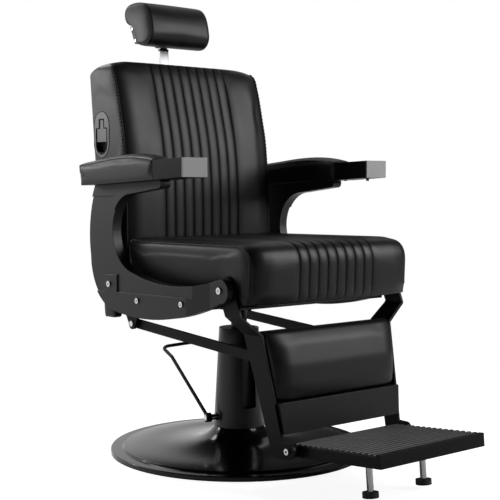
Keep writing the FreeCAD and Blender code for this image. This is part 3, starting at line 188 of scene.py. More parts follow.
@dataclass(frozen=True)
class Upholstery:
    """Black leatherette over foam: calendered vinyl with an embossed pebble grain and a low, waxy sheen."""

    name: str = "black_leatherette"
    dark: str = "#0b0b0c"
    light: str = "#101011"
    roughness: float = 0.43
    specular: float = 0.22
    grain_mm: float = 2.4        # the real pebble is about 1 mm; drawn coarser so that it shows in the render
    grain_depth_mm: float = 0.10
    tone_mm: float = 60.0

    def make(self) -> bpy.types.Material:
        """Build the node material."""
        recipe = Recipe(self.name)
        tone = recipe.noise(self.tone_mm, detail=3.0)
        grain = add_node(recipe.tree, "ShaderNodeTexVoronoi", {
            "Vector": recipe.place, "Scale": cells_per_metre(self.grain_mm)}, feature="SMOOTH_F1")
        return recipe.finished({
            "Base Color": recipe.blend(tone, self.dark, self.light), "IOR": COATING_IOR,
            "Roughness": recipe.between(tone, self.roughness - 0.04, self.roughness + 0.05),
            "Normal": recipe.bump(grain.outputs["Distance"], strength=0.22, depth_mm=self.grain_depth_mm),
            "Specular IOR Level": self.specular})


@dataclass(frozen=True)
class Paint:
    """Painted or powder-coated steel: an even colour with orange peel and a small radius on every edge."""

    name: str
    colour: str
    worn: str
    roughness: float
    peel_mm: float
    peel_depth_mm: float
    edge_mm: float = 1.2
    specular: float = 0.5
    cloud_mm: float = 90.0       # spray passes leave patches about this wide

    def make(self) -> bpy.types.Material:
        """Build the node material."""
        recipe = Recipe(self.name)
        peel, cloud = recipe.noise(self.peel_mm), recipe.noise(self.cloud_mm)
        return recipe.finished({
            "Base Color": recipe.blend(cloud, self.colour, self.worn), "IOR": COATING_IOR,
            "Roughness": recipe.between(cloud, self.roughness * 0.9, self.roughness * 1.1),
            "Normal": recipe.bump(peel, strength=0.3, depth_mm=self.peel_depth_mm, edge_mm=self.edge_mm),
            "Specular IOR Level": self.specular})


@dataclass(frozen=True)
class Metal:
    """Bare or plated metal: full reflection in the metal's colour, blurred by fine polishing marks."""

    name: str
    colour: str
    roughness: float
    mark_mm: float = 1.5
    mark_depth_mm: float = 0.05
    edge_mm: float = 0.6

    def make(self) -> bpy.types.Material:
        """Build the node material."""
        recipe = Recipe(self.name)
        marks = recipe.noise(self.mark_mm, detail=3.0, stretch=(1.0, 1.0, 0.05))
        return recipe.finished({
            "Base Color": linear(self.colour), "Metallic": 1.0,
            "Roughness": recipe.between(marks, self.roughness * 0.8, self.roughness * 1.25),
            "Normal": recipe.bump(marks, strength=0.05, depth_mm=self.mark_depth_mm, edge_mm=self.edge_mm)})


@dataclass(frozen=True)
class Moulding:
    """Moulded plastic or rubber: dull black with a fine spark-eroded mould texture."""

    name: str
    colour: str
    roughness: float
    grain_mm: float = 1.6
    grain_depth_mm: float = 0.06

    def make(self) -> bpy.types.Material:
        """Build the node material."""
        recipe = Recipe(self.name)
        grain = recipe.noise(self.grain_mm)
        return recipe.finished({
            "Base Color": linear(self.colour), "IOR": COATING_IOR,
            "Roughness": recipe.between(grain, self.roughness - 0.08, self.roughness + 0.08),
            "Normal": recipe.bump(grain, strength=0.2, depth_mm=self.grain_depth_mm)})


class Finish(Enum):
    """The finishes of the chair, each made once."""

    # Calendered vinyl gives soft, broad highlights on a deep black
    LEATHER = Upholstery()
    # Welts are the same vinyl cut on the bias; stretching flattens the grain and dulls its sheen
    WELT = Upholstery(name="black_leatherette_welt", dark="#0d0d0e", light="#141415", roughness=0.5)
    # Baked enamel on spun steel mirrors the studio sharply
    ENAMEL = Paint("gloss_black_enamel", "#050505", "#070707", 0.16, 6.0, 0.01, edge_mm=1.5, specular=0.34)
    # Powder coat on the bars scatters nearly all the light and stays a flat black
    POWDER_COAT = Paint("satin_black_powder_coat", "#0a0a0b", "#0e0e0f", 0.42, 2.5, 0.05,
                        edge_mm=1.8, specular=0.08)
    # Panels that are rolled from painted sheet keep more of the light than the bars
    PANEL_COAT = Paint("satin_black_panel_paint", "#0c0c0d", "#101011", 0.4, 3.0, 0.04,
                       edge_mm=1.5, specular=0.22)
    # The cast side frames wear a thicker, slightly greyer coat that shows its skin
    FRAME_COAT = Paint("textured_black_powder_coat", "#18181a", "#1f1f20", 0.45, 3.0, 0.12,
                       edge_mm=2.6, specular=0.25)
    # The column is sprayed and flatted, so it mirrors the studio in long soft streaks
    COLUMN_COAT = Paint("semi_gloss_black_paint", "#09090a", "#0c0c0d", 0.3, 4.0, 0.02,
                        edge_mm=1.8, specular=0.3)
    # Pressed sheet in plain black paint shows a dull, even sheen
    SHEET = Paint("black_painted_sheet", "#0c0c0c", "#101010", 0.5, 3.0, 0.04)
    # Sand casting leaves a rough dark grey skin
    CASTING = Paint("dark_cast_iron", "#2a2a2b", "#343436", 0.6, 3.0, 0.12)
    # Plated and buffed, a near mirror
    CHROME = Metal("polished_chrome_plate", "#e4e5e6", 0.07)
    # Turned steel legs, polished but not plated, mirror the floor a tone darker than chrome
    STEEL = Metal("polished_steel", "#a2a2a4", 0.18)
    # The post is brushed along its length, which spreads the light into a pale even grey
    BRUSHED = Metal("brushed_steel", "#8c8c8e", 0.45)
    # Bright zinc on fasteners is pale with a blurred reflection
    ZINC = Metal("bright_zinc_plate", "#cfcfcd", 0.22)
    # Satin lacquer on the arms' end plates reads as a plain mid grey
    GREY_LACQUER = Paint("satin_grey_lacquer", "#7e7e7e", "#848484", 0.55, 2.0, 0.03, edge_mm=0.8)
    # The release is a painted casting, a tone darker so that its paddle reads against the hollow
    RELEASE = Paint("dark_grey_lacquer", "#4c4c4c", "#525252", 0.45, 2.0, 0.03, edge_mm=0.8)
    # Moulded nylon is matt with a fine grain
    PLASTIC = Moulding("matt_black_nylon", "#0b0b0b", 0.55)
    # Moulded rubber is duller still
    RUBBER = Moulding("black_rubber", "#0e0e0e", 0.7)
    # Painted shade: the darkest black stands in for the shadow deep in the bolt sockets and in the release's
    # finger hollow
    SOCKET = Moulding("painted_socket_shade", "#050505", 0.8)


MATERIALS: dict[Finish, bpy.types.Material] = {}


def material_of(finish: Finish) -> bpy.types.Material:
    """Give the one material of a finish, made on first use.

    Args:
        finish: Finish wanted.

    Returns:
        Its material.
    """
    if finish not in MATERIALS:
        MATERIALS[finish] = finish.value.make()
    return MATERIALS[finish]


SLOT_FINISH = {
    "gloss_black_enamel": Finish.ENAMEL,
    "satin_black_paint": Finish.POWDER_COAT,
    "black_leather": Finish.LEATHER,
    "cast_iron": Finish.CASTING,
    "chrome": Finish.CHROME,
    "zinc_steel": Finish.ZINC,
    "grey_metal": Finish.GREY_LACQUER,
    "pressed_steel": Finish.SHEET,
    "black_plastic": Finish.PLASTIC,
    "black_rubber": Finish.RUBBER,
}


NODE_FINISH = {
    "release_housing": Finish.RELEASE,
    "release_trigger": Finish.RELEASE,
    "side_frame_left": Finish.FRAME_COAT,
    "side_frame_right": Finish.FRAME_COAT,
    "column_shroud": Finish.COLUMN_COAT,
    "column_cap": Finish.COLUMN_COAT,
    "seat_yoke": Finish.COLUMN_COAT,
    "leg_panel": Finish.PANEL_COAT,
    "footplate_tread": Finish.PANEL_COAT,
    "footplate_props": Finish.STEEL,
    "headrest_post": Finish.BRUSHED,
    "headrest_plate": Finish.FRAME_COAT,
    "headrest_screws": Finish.STEEL,
}


def smooth_line(points: Sequence[Point2], steps: int = 12) -> list[Point2]:
    """Smooth curve through points, for profiles with no corners.

    Args:
        points: Points that the curve passes through.
        steps: Samples between two points.

    Returns:
        The sampled curve.
    """
    p = np.array([points[0], *points, points[-1]], float)
    out = []
    for a, b, c, d in zip(p, p[1:], p[2:], p[3:]):
        for t in np.linspace(0, 1, steps, endpoint=False):
            out.append(tuple(0.5 * (2 * b + (c - a) * t + (2 * a - 5 * b + 4 * c - d) * t ** 2
                                    + (3 * b - a - 3 * c + d) * t ** 3)))
    return out + [tuple(points[-1])]


def filleted(corners: Sequence[tuple[float, float, float]]) -> list[Point2]:
    """Polyline with rounded corners.

    Args:
        corners: (y, z, radius) corners; the radius of the first and last is not used.

    Returns:
        Points along the line, with the arcs sampled.
    """
    out: list[Point2] = [corners[0][:2]]
    for (ay, az, _), (by, bz, radius), (cy, cz, _) in zip(corners, corners[1:], corners[2:]):
        a, b, c = np.array([ay, az]), np.array([by, bz]), np.array([cy, cz])
        to_a, to_c = (a - b) / np.linalg.norm(a - b), (c - b) / np.linalg.norm(c - b)
        half = math.acos(float(np.clip(to_a @ to_c, -1, 1))) / 2
        if radius <= 0 or half > math.radians(89):
            out.append((by, bz))
            continue
        run = min(radius / math.tan(half), 0.49 * np.linalg.norm(a - b), 0.49 * np.linalg.norm(c - b))
        start, end = b + to_a * run, b + to_c * run
        for t in np.linspace(0, 1, 10):
            out.append(tuple((1 - t) ** 2 * start + 2 * t * (1 - t) * b + t ** 2 * end))
    return out + [corners[-1][:2]]


def lengths_along(points: np.ndarray) -> np.ndarray:
    """Distance of each point of a line from its first point, measured along the line."""
    return np.concatenate([[0], np.cumsum(np.linalg.norm(np.diff(points, axis=0), axis=1))])


def points_along(points: np.ndarray, at: np.ndarray) -> np.ndarray:
    """Points of a line at given distances along it.

    Args:
        points: Points of the line, one row each.
        at: Distances from its first point.

    Returns:
        One row for each distance.
    """
    run = lengths_along(points)
    return np.stack([np.interp(at, run, column) for column in points.T], axis=1)


def resampled(line: Sequence[Point2], count: int) -> np.ndarray:
    """Points at equal spacing along a line.

    Args:
        line: Points of the line.
        count: How many points are wanted.

    Returns:
        Array of count rows.
    """
    p = np.array(line, float)
    return points_along(p, np.linspace(0, lengths_along(p)[-1], count))


def side_name(side: int) -> str:
    """Name of a side, seen by the sitter: right for -1, left for 1."""
    return "right" if side < 0 else "left"


def smoothstep(low: float, high: float, value: np.ndarray | float) -> np.ndarray:
    """Ease from 0 at low to 1 at high."""
    t = np.clip((np.asarray(value, float) - low) / (high - low), 0, 1)
    return t * t * (3 - 2 * t)


def link_mesh(name: str, vertices: np.ndarray, faces: list[tuple[int, ...]]) -> bpy.types.Object:
    """Make a smooth-shaded mesh object.

    Args:
        name: Object name.
        vertices: Vertex positions in metres.
        faces: Vertex indices of each face.

    Returns:
        The linked object, with its normals turned outwards.
    """
    mesh = bpy.data.meshes.new(name)
    mesh.from_pydata([tuple(v) for v in vertices], [], faces)
    work = bmesh.new()
    work.from_mesh(mesh)
    bmesh.ops.recalc_face_normals(work, faces=work.faces)
    work.to_mesh(mesh)
    work.free()
    mesh.polygons.foreach_set("use_smooth", [True] * len(mesh.polygons))
    piece = bpy.data.objects.new(name, mesh)
    bpy.context.scene.collection.objects.link(piece)
    return piece


def positions(piece: bpy.types.Object) -> np.ndarray:
    """Vertex positions of a mesh object as an array."""
    flat = np.empty(len(piece.data.vertices) * 3)
    piece.data.vertices.foreach_get("co", flat)
    return flat.reshape(-1, 3)


def set_positions(piece: bpy.types.Object, points: np.ndarray) -> None:
    """Write vertex positions back to a mesh object."""
    piece.data.vertices.foreach_set("co", np.asarray(points, float).ravel())
    piece.data.update()


@dataclass(frozen=True)
class Stuffing:
    """How a pad swells when it is stuffed, and how taut its cover is drawn."""

    pressure: float = 4.0
    frames: int = 20
    quality: int = 5                  # solver steps in a frame
    mass: float = 0.3                 # mass of a point of the cover
    cap_mm: float = 3.0
    draws: int = 14                   # passes that pull creases out of the cover
    draw: float = 0.6                 # share that a point takes from its neighbours in a pass


def stuff(piece: bpy.types.Object, held: np.ndarray, stuffing: Stuffing) -> None:
    """Swell a pad with a cloth simulation and keep the result.

    Args:
        piece: Mesh of the pad.
        held: Hold of each vertex, 1 where the cover is sewn down or glued.
        stuffing: Pressure, length and cap of the simulation.
    """
    start = positions(piece)
    group = piece.vertex_groups.new(name="sewn_down")
    for level in np.unique(held):
        if level > 0:
            group.add(np.flatnonzero(held == level).tolist(), float(level), "REPLACE")
    cloth = piece.modifiers.new("stuffing", "CLOTH")
    settings = cloth.settings
    settings.quality = stuffing.quality
    settings.mass = stuffing.mass
    settings.use_pressure = True
    settings.uniform_pressure_force = stuffing.pressure
    settings.vertex_group_mass = group.name
    settings.effector_weights.gravity = 0
    cloth.point_cache.frame_start = 1
    cloth.point_cache.frame_end = stuffing.frames
    scene = bpy.context.scene
    for number in range(1, stuffing.frames + 1):
        scene.frame_set(number)
    evaluated = piece.evaluated_get(bpy.context.evaluated_depsgraph_get())
    swollen = np.array([v.co[:] for v in evaluated.data.vertices])
    piece.modifiers.remove(cloth)
    piece.vertex_groups.remove(group)
    scene.frame_set(1)
    normals = np.array([v.normal[:] for v in piece.data.vertices])
    rise = np.sum((swollen - start) * normals, axis=1)
    ends = np.array([e.vertices[:] for e in piece.data.edges])
    first, second = ends[:, 0], ends[:, 1]
    size = len(rise)
    count = np.bincount(ends.ravel(), minlength=size)
    for _ in range(stuffing.draws):
        total = np.bincount(first, rise[second], size) + np.bincount(second, rise[first], size)
        rise = (1 - held) * ((1 - stuffing.draw) * rise + stuffing.draw * total / np.maximum(count, 1))
    limit = stuffing.cap_mm * MM
    set_positions(piece, start + normals * (limit * np.tanh(rise / limit))[:, None])


EDGE_SHARES = (0.03, 0.14, 0.32, 0.56, 0.8, 1.0)    # stations on a rounded edge, as shares of its width
SEAM_STATIONS = (-3, -1, 0, 1, 3)                   # stations round a seam, in mm from it
END_EASE = 0.05                                     # share of the skin over which its height sets in
SEAM_EASE = 0.04                                    # share of the skin over which a seam sets in
PILLOW = 0.45                                       # share of a seam's depth that the whole channel takes
PANEL_CELL = 1.2                                    # cells of a side panel, against those of the skin
PANEL_EASE = 0.12                                   # share of the skin over which a side panel swells


@dataclass
class Pad:
    """An upholstered block: a skin over foam, a base that rests on something, and two side panels.

    The skin and the base are side outlines in millimetres that start and end at the same two points.
    Stations across the chair carry them, and the skin rises and falls between its seams.
    """

    name: str
    body: str
    node: str
    skin: list[Point2]
    base: list[Point2]
    half: float                       # half width in mm
    centre: float = 0.0               # middle of the width in mm
    corner: float = 10.0              # width of the roll between skin and side panel
    roll: float = 0.0                 # depth of that roll, 0 for as deep as wide
    welt_at: float = 0.32             # place of the welt on the roll, 0 at the side panel
    pitch: float = 0.0                # spacing of sewn channels, 0 for a plain skin
    channels: int = 0
    seam_depth: float = 3.2
    flank: float = 26.0               # width over which the plain skin falls to the outer seam
    thread: float = 1.2               # half width of the crease that a sewn line pulls in
    crown: float = 0.0                # rise of the skin towards the middle of its width
    cell: float = 6.0                 # mesh spacing
    panel_rise: float = 3.0           # swell of the side panels
    stuffing: Stuffing = field(default_factory=Stuffing)
    fill: float = 0.75
    end_skin: list[Point2] = field(default_factory=list)   # the outlines at the two ends, where they differ
    end_base: list[Point2] = field(default_factory=list)
    end_reach: float = 100.0          # distance from an end over which the outline changes
    round_ends: bool = False          # whether it changes in a quarter round
    edge_rows: dict[int, np.ndarray] = field(init=False, default_factory=dict)     # welt line of each side

    def stations(self) -> np.ndarray:
        """X of each station in mm, closer at the seams and at the rounded edges."""
        marks = {-self.half, self.half}
        for side in (-1, 1):
            for share in EDGE_SHARES:
                marks.add(side * (self.half - self.corner * share))
        for seam in self.seams():
            marks.update(seam + step for step in SEAM_STATIONS)
        marks = sorted(marks)
        out = [marks[0]]
        for mark in marks[1:]:
            count = max(1, round((mark - out[-1]) / self.cell))
            out += list(np.linspace(out[-1], mark, count + 1)[1:])
        return np.array(out)

    def seams(self) -> list[float]:
        """X of the sewn lines in mm."""
        if not self.channels:
            return []
        return [(i - self.channels / 2) * self.pitch for i in range(self.channels + 1)]

    def swell(self, x: np.ndarray, share: np.ndarray) -> np.ndarray:
        """Height of the skin over its outline.

        Args:
            x: X of the stations in mm.
            share: Place along the skin, 0 to 1.

        Returns:
            Heights in mm, one row for each station.
        """
        edge = np.clip((np.abs(x) - self.half) / self.corner + 1, 0, 1)
        round_off = (self.roll or self.corner) * (np.sqrt(1 - edge ** 2) - 1)
        rise = self.crown * (1 - (x / self.half) ** 2)
        ends = smoothstep(0, END_EASE, share) * smoothstep(0, END_EASE, 1 - share)
        height = np.outer(round_off, ends) + np.outer(rise, ends)
        if self.channels:
            near = np.min(np.abs(x[:, None] - np.array(self.seams())[None, :]), axis=1)
            inside = np.abs(x) <= self.channels / 2 * self.pitch
            reach = np.where(inside, self.pitch / 2, self.flank)
            pillow = (1 - np.clip(near / reach, 0, 1)) ** 2
            crease = np.exp(-(near / self.thread) ** 2)
            groove = self.seam_depth * (PILLOW * pillow + (1 - PILLOW) * crease)
            height -= np.outer(groove, self.channel_mask(share))
        return height

    def channel_mask(self, share: np.ndarray) -> np.ndarray:
        """How deep the channels are sewn along the skin, 0 to 1."""
        return smoothstep(0.0, SEAM_EASE, share) * smoothstep(0.0, SEAM_EASE, 1 - share)

    def end_blend(self, x: np.ndarray) -> np.ndarray:
        """How far the outline at each station has changed to that of the ends, 0 to 1."""
        if self.round_ends:
            inward = np.clip((self.half - np.abs(x)) / self.end_reach, 0, 1)
            return 1 - np.sqrt(1 - (1 - inward) ** 2)
        return smoothstep(self.half - self.end_reach, self.half, np.abs(x))

    @staticmethod
    def outward(skin: np.ndarray, base: np.ndarray) -> np.ndarray:
        """Unit normals of a skin line, pointing away from its base."""
        tangent = np.gradient(skin, axis=0)
        normal = np.stack([tangent[:, 1], -tangent[:, 0]], axis=1)
        normal /= np.linalg.norm(normal, axis=1, keepdims=True)
        middle = (skin.mean(0) + base.mean(0)) / 2
        return normal if np.sum(normal * (skin - middle)) > 0 else -normal

    def build(self) -> bpy.types.Object:
        """Make, stuff and dress the pad.

        Returns:
            The finished piece.
        """
        n = int(lengths_along(np.array(self.skin))[-1] / self.cell) + 1
        skin, base = resampled(self.skin, n), resampled(self.base, n)
        end_skin = resampled(self.end_skin or self.skin, n)
        end_base = resampled(self.end_base or self.base, n)
        x = self.stations()
        blend = self.end_blend(x)
        share = np.linspace(0, 1, n)
        height = self.swell(x, share)
        ring = 2 * n - 2
        points = np.zeros((len(x) * ring, 3))
        held = np.zeros(len(points))
        for j, at in enumerate(x):
            row = points[j * ring:(j + 1) * ring]
            row[:, 0] = at + self.centre
            here = skin + (end_skin - skin) * blend[j]
            under = base + (end_base - base) * blend[j]
            row[:n, 1:] = here + self.outward(here, under) * height[j][:, None]
            row[n:, 1:] = under[n - 2:0:-1]
            grip = held[j * ring:(j + 1) * ring]
            grip[n - 1:] = 1
            grip[0] = 1
            if any(abs(at - seam) < 1 for seam in self.seams()):
                grip[:n] = 1
        faces = tube_faces(len(x), ring)
        depth = float(np.max(np.linalg.norm(skin - base, axis=1)))
        rows = max(2, round(depth / (self.cell * PANEL_CELL)))
        panels = [points]
        for j, side in ((0, -1), (len(x) - 1, 1)):
            extra, more = self.side_panel(points, j * ring, n, ring, rows, side, sum(len(p) for p in panels))
            panels.append(extra)
            faces += more
        points = np.concatenate(panels)
        held = np.maximum(np.concatenate([held, np.zeros(len(points) - len(held))]), self.glued(points))
        piece = link_mesh(self.name, points * MM, faces)
        self.edge_rows = {side: self.edge_station(x, side) * ring + np.arange(n) for side in (-1, 1)}
        stuff(piece, held, self.stuffing)
        self.fit(piece)
        piece.modifiers.new("smooth", "SUBSURF").render_levels = 1
        piece.modifiers["smooth"].levels = 1
        return self.dress(piece)

    def glued(self, points: np.ndarray) -> np.ndarray:
        """Hold of each point where the cover is glued to what lies under it."""
        return np.zeros(len(points))

    def edge_station(self, x: np.ndarray, side: int) -> int:
        """Index of the station that carries the welt of one side."""
        return int(np.argmin(np.abs(x - side * (self.half - self.welt_at * self.corner))))

    def side_panel(self, points: np.ndarray, first: int, n: int, ring: int, rows: int, side: int,
                   offset: int) -> tuple[np.ndarray, list[tuple[int, ...]]]:
        """Mesh one side panel between the skin's edge and the base.

        Args:
            points: Points of the stations.
            first: Index of the end station's first point.
            n: Points along the skin.
            ring: Points in a station.
            rows: Cells between skin and base.
            side: -1 for the sitter's right, 1 for the left.
            offset: Index that the first new point gets.

        Returns:
            The new points and the faces.
        """
        extra, index = [], {}
        for i in range(1, n - 1):
            top, low = points[first + i], points[first + ring - i]
            index[i, 0], index[i, rows] = first + i, first + ring - i
            along = min(i, n - 1 - i) / n
            for k in range(1, rows):
                t = k / rows
                rise = self.panel_rise * (4 * t * (1 - t)) ** 0.5 * float(smoothstep(0, PANEL_EASE, along))
                index[i, k] = offset + len(extra)
                extra.append(top + (low - top) * t + np.array([side * rise, 0, 0]))
        faces: list[tuple[int, ...]] = []
        for i in range(1, n - 2):
            for k in range(rows):
                faces.append((index[i, k], index[i + 1, k], index[i + 1, k + 1], index[i, k + 1]))
        for k in range(rows):
            faces.append((first, index[1, k], index[1, k + 1]))
            faces.append((first + n - 1, index[n - 2, k], index[n - 2, k + 1]))
        return np.array(extra), faces

    def fit(self, piece: bpy.types.Object) -> None:
        """Trim the stuffed pad to its neighbours. A plain pad needs nothing."""

    def dress(self, piece: bpy.types.Object) -> bpy.types.Object:
        """Give the pad its leather, its body and its place in the assembly.

        Args:
            piece: The pad's mesh.

        Returns:
            The same piece.
        """
        piece.data.materials.append(material_of(Finish.LEATHER))
        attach(piece, self.body)
        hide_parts(self.node)
        LOG.info("pad %s on %s, %d points", self.name, self.body, len(piece.data.vertices))
        return piece

    def welt(self, piece: bpy.types.Object, side: int, radius: float, start: float = 0.0, end: float = 1.0,
             gather: float = 0.0) -> bpy.types.Object:
        """Sew a welt cord along one rounded edge.

        Args:
            piece: The pad's mesh.
            side: -1 for the sitter's right, 1 for the left.
            radius: Radius of the cord in mm.
            start: Share of the skin where it begins.
            end: Share of the skin where it ends.
            gather: Depth of its twist in mm.

        Returns:
            The welt.
        """
        rows = self.edge_rows[side]
        part = rows[int(start * (len(rows) - 1)):int(end * (len(rows) - 1)) + 1]
        name = f"{self.name}_welt_{side_name(side)}"
        cord = tube(name, positions(piece)[part], radius, gather)
        cord.data.materials.append(material_of(Finish.WELT))
        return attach(cord, self.body)


TWIST_MM = 11.0         # length of one gather along a sewn edge
CORD_STEP_MM = 2.5      # spacing of the points along a cord


def tube_faces(rings: int, around: int) -> list[tuple[int, ...]]:
    """Faces between rings of points, each ring joined to the next.

    Args:
        rings: How many rings there are.
        around: Points in a ring.

    Returns:
        Vertex indices of each face.
    """
    faces = []
    for first in range(0, (rings - 1) * around, around):
        for k in range(around):
            ahead = (k + 1) % around
            faces.append((first + k, first + ahead, first + around + ahead, first + around + k))
    return faces


def tube(name: str, path: np.ndarray, radius: float, gather: float = 0.0,
         around: int = 10) -> bpy.types.Object:
    """Round cord along a path, with closed ends.

    Args:
        name: Object name.
        path: Points in metres.
        radius: Radius in mm.
        gather: Depth of the twist in mm, 0 for a plain round cord.
        around: Points round the cord.

    Returns:
        The cord's object.
    """
    length = lengths_along(path)[-1]
    count = max(8, int(length / (CORD_STEP_MM * MM)))
    at = np.linspace(0, length, count)
    line = points_along(path, at)
    ahead = np.gradient(line, axis=0)
    ahead /= np.linalg.norm(ahead, axis=1, keepdims=True)
    across = np.cross(ahead, [1.0, 0.0, 0.0])
    across /= np.linalg.norm(across, axis=1, keepdims=True)
    other = np.cross(ahead, across)
    turn = np.linspace(0, 2 * math.pi, around, endpoint=False)
    twist = 2 * math.pi * at / (TWIST_MM * MM)
    points = [line[i] + MM * (radius + gather * math.cos(2 * t + twist[i]))
              * (math.cos(t) * across[i] + math.sin(t) * other[i]) for i in range(count) for t in turn]
    faces = tube_faces(count, around)
    faces += [tuple(range(around)), tuple(range((count - 1) * around, count * around))]
    return link_mesh(name, np.array(points), faces)


@dataclass(frozen=True)
class BackPlane:
    """The leaning plane of the backrest's board."""

    ref_y: float = 340.0
    ref_z: float = 811.0
    lean_deg: float = 6.0
    board: float = 8.0

    def face(self, z: float) -> float:
        """Y of the board's front face at a height, in mm."""
        lean = math.radians(self.lean_deg)
        return self.ref_y + (z - self.ref_z) * math.tan(lean) - self.board / math.cos(lean)


@dataclass
class BackCushion(Pad):
    """Channelled back cushion with an oval hole for the release, and gathered welts."""

    hole: tuple[float, float, float, float] = (296.0, 875.0, 34.0, 125.0)   # y, z, half width, height
    hole_trim: float = 3.0            # the hole is this much shorter than the housing at each end
    side_depth: float = 12.0          # what lies this near to the widest point is side panel
    glue: Point2 = (10.0, 70.0)       # distance from the hole over which the glue lets go
    top: float = 1081.0               # height of the top in front, and its fall at the board
    top_fall: float = 12.0
    front_y: float = 240.0            # the top runs back from here to the board
    top_run: float = 110.0
    corner_front: float = 34.0        # upper corners are rounder in front than at the board
    corner_rear: float = 8.0
    corner_reach: float = 110.0       # distance from the side over which they draw the cover in
    channel_start: float = 0.03       # share of the skin over which the channels set in
    channel_end: Point2 = (0.82, 0.86)     # and where they fade
    pleat_step: float = 9.5           # spacing of the folds where the front cover is gathered in
    pleat_half: float = 3.8
    pleat_reach: float = 15.0
    pleat_slant: float = 6.0
    pleat_rise: float = 2.6
    pleat_apex: float = 0.3           # place of a fold's ridge along its reach

    @classmethod
    def fitted(cls, plane: BackPlane) -> "BackCushion":
        """Cut the cushion to the board's plane.

        Args:
            plane: Plane of the board.

        Returns:
            The cushion, ready to build.
        """
        low = [(166, 506), (164, 640), (168, 760)]
        top, side_top = (plane.face(1060), 1060), (plane.face(1046), 1046)
        front = smooth_line(low + [(181, 863), (211, 980), (226, 1032), (236, 1057), (247, 1073), (265, 1080),
                                   top])
        side = smooth_line(low + [(178, 863), (193, 930), (207, 988), (220, 1028), (231, 1055), (245, 1072),
                                  (266, 1081), (300, 1080), (335, 1070), side_top])
        back = [low[0], (plane.face(506), 506), top]
        side_back = back[:2] + [side_top]
        return cls("back_cushion_cover", "backrest", "back_cushion", front, back, 255.0, corner=52.0,
                   roll=12.0, welt_at=0.03, pitch=32.1, channels=8, panel_rise=1.5, cell=6.5, end_skin=side,
                   end_base=side_back, end_reach=140.0, stuffing=Stuffing(cap_mm=2.5))

    def channel_mask(self, share: np.ndarray) -> np.ndarray:
        """Channels run up the front and fade just below the top edge."""
        return smoothstep(0.0, self.channel_start, share) * (1 - smoothstep(*self.channel_end, share))

    def fit(self, piece: bpy.types.Object) -> None:
        """Round the upper corners and open the oval hole in the right side panel.

        Args:
            piece: The cushion's mesh.
        """
        p = positions(piece) / MM
        behind = np.clip((p[:, 1] - self.front_y) / self.top_run, 0, 1)
        radius = self.corner_front + (self.corner_rear - self.corner_front) * behind
        over = np.clip(p[:, 2] - (self.top - self.top_fall * behind - radius), 0, radius)
        inset = radius - np.sqrt(radius ** 2 - over ** 2)
        inset *= smoothstep(self.half - self.corner_reach, self.half, np.abs(p[:, 0]))
        p[:, 0] -= np.sign(p[:, 0]) * inset
        set_positions(piece, p * MM)
        y, z, half, height = self.hole
        run = height / 2 - half - self.hole_trim
        panel = self.side_depth - self.half
        work = bmesh.new()
        work.from_mesh(piece.data)
        doomed = []
        for face in work.faces:
            corners = [v.co / MM for v in face.verts]
            if all(c.x < panel and math.hypot(c.y - y, max(abs(c.z - z) - run, 0)) < half for c in corners):
                doomed.append(face)
        bmesh.ops.delete(work, geom=doomed, context="FACES")
        work.to_mesh(piece.data)
        work.free()

    def glued(self, points: np.ndarray) -> np.ndarray:
        """Hold of the right side panel, which is glued down around the release housing."""
        y, z, half, height = self.hole
        above = np.maximum(np.abs(points[:, 2] - z) - height / 2 + half, 0)
        hold = 1 - smoothstep(*self.glue, np.hypot(points[:, 1] - y, above) - half)
        return np.round(hold, 2) * (points[:, 0] < self.side_depth - self.half)

    def pleats(self, piece: bpy.types.Object, side: int, start: float, end: float) -> bpy.types.Object:
        """Row of short slanted folds where the front cover is gathered into a side panel.

        Args:
            piece: The cushion's mesh.
            side: -1 for the sitter's right, 1 for the left.
            start: Share of the skin where the row begins.
            end: Share of the skin where it ends.

        Returns:
            The folds, as one piece.
        """
        rows = self.edge_rows[side]
        path = positions(piece)[rows[int(start * len(rows)):int(end * len(rows))]] / MM
        at = np.arange(self.pleat_step, lengths_along(path)[-1], self.pleat_step)
        out = np.array([float(side), 0.0, 0.0])
        points: list[np.ndarray] = []
        faces: list[tuple[int, ...]] = []
        for here, ahead in zip(points_along(path, at), points_along(path, at + 1)):
            along = (ahead - here) / np.linalg.norm(ahead - here)
            rear = np.array([0.0, along[2], -along[1]])
            first = len(points)
            points += [here - along * self.pleat_half, here + along * self.pleat_half,
                       here + rear * self.pleat_reach + along * self.pleat_slant + out * self.pleat_rise,
                       here + rear * self.pleat_reach * self.pleat_apex + out * self.pleat_rise * 2]
            faces += [(first, first + 1, first + 3), (first + 1, first + 2, first + 3),
                      (first + 2, first, first + 3), (first, first + 2, first + 1)]
        name = f"{self.name}_pleats_{side_name(side)}"
        folds = link_mesh(name, np.array(points) * MM, faces)
        folds.data.materials.append(material_of(Finish.WELT))
        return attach(folds, self.body)


@dataclass
class BackEar(Pad):
    """One of the two padded ears below the back cushion, beside the seat."""

    @classmethod
    def fitted(cls, plane: BackPlane, side: int) -> "BackEar":
        """Cut an ear to the board's plane.

        Args:
            plane: Plane of the board.
            side: -1 for the sitter's right, 1 for the left.

        Returns:
            The ear, ready to build.
        """
        name = f"back_ear_{side_name(side)}"
        skin = filleted([(236, 505, 0), (235, 363, 12), (plane.face(363), 363, 0)])
        base = [(236, 505), (plane.face(505), 505), (plane.face(363), 363)]
        return cls(name, "backrest", "back_cushion", skin, base, 12.5, centre=side * 242.5, corner=4.0,
                   cell=5.0, panel_rise=1.0, stuffing=Stuffing(cap_mm=2.0))


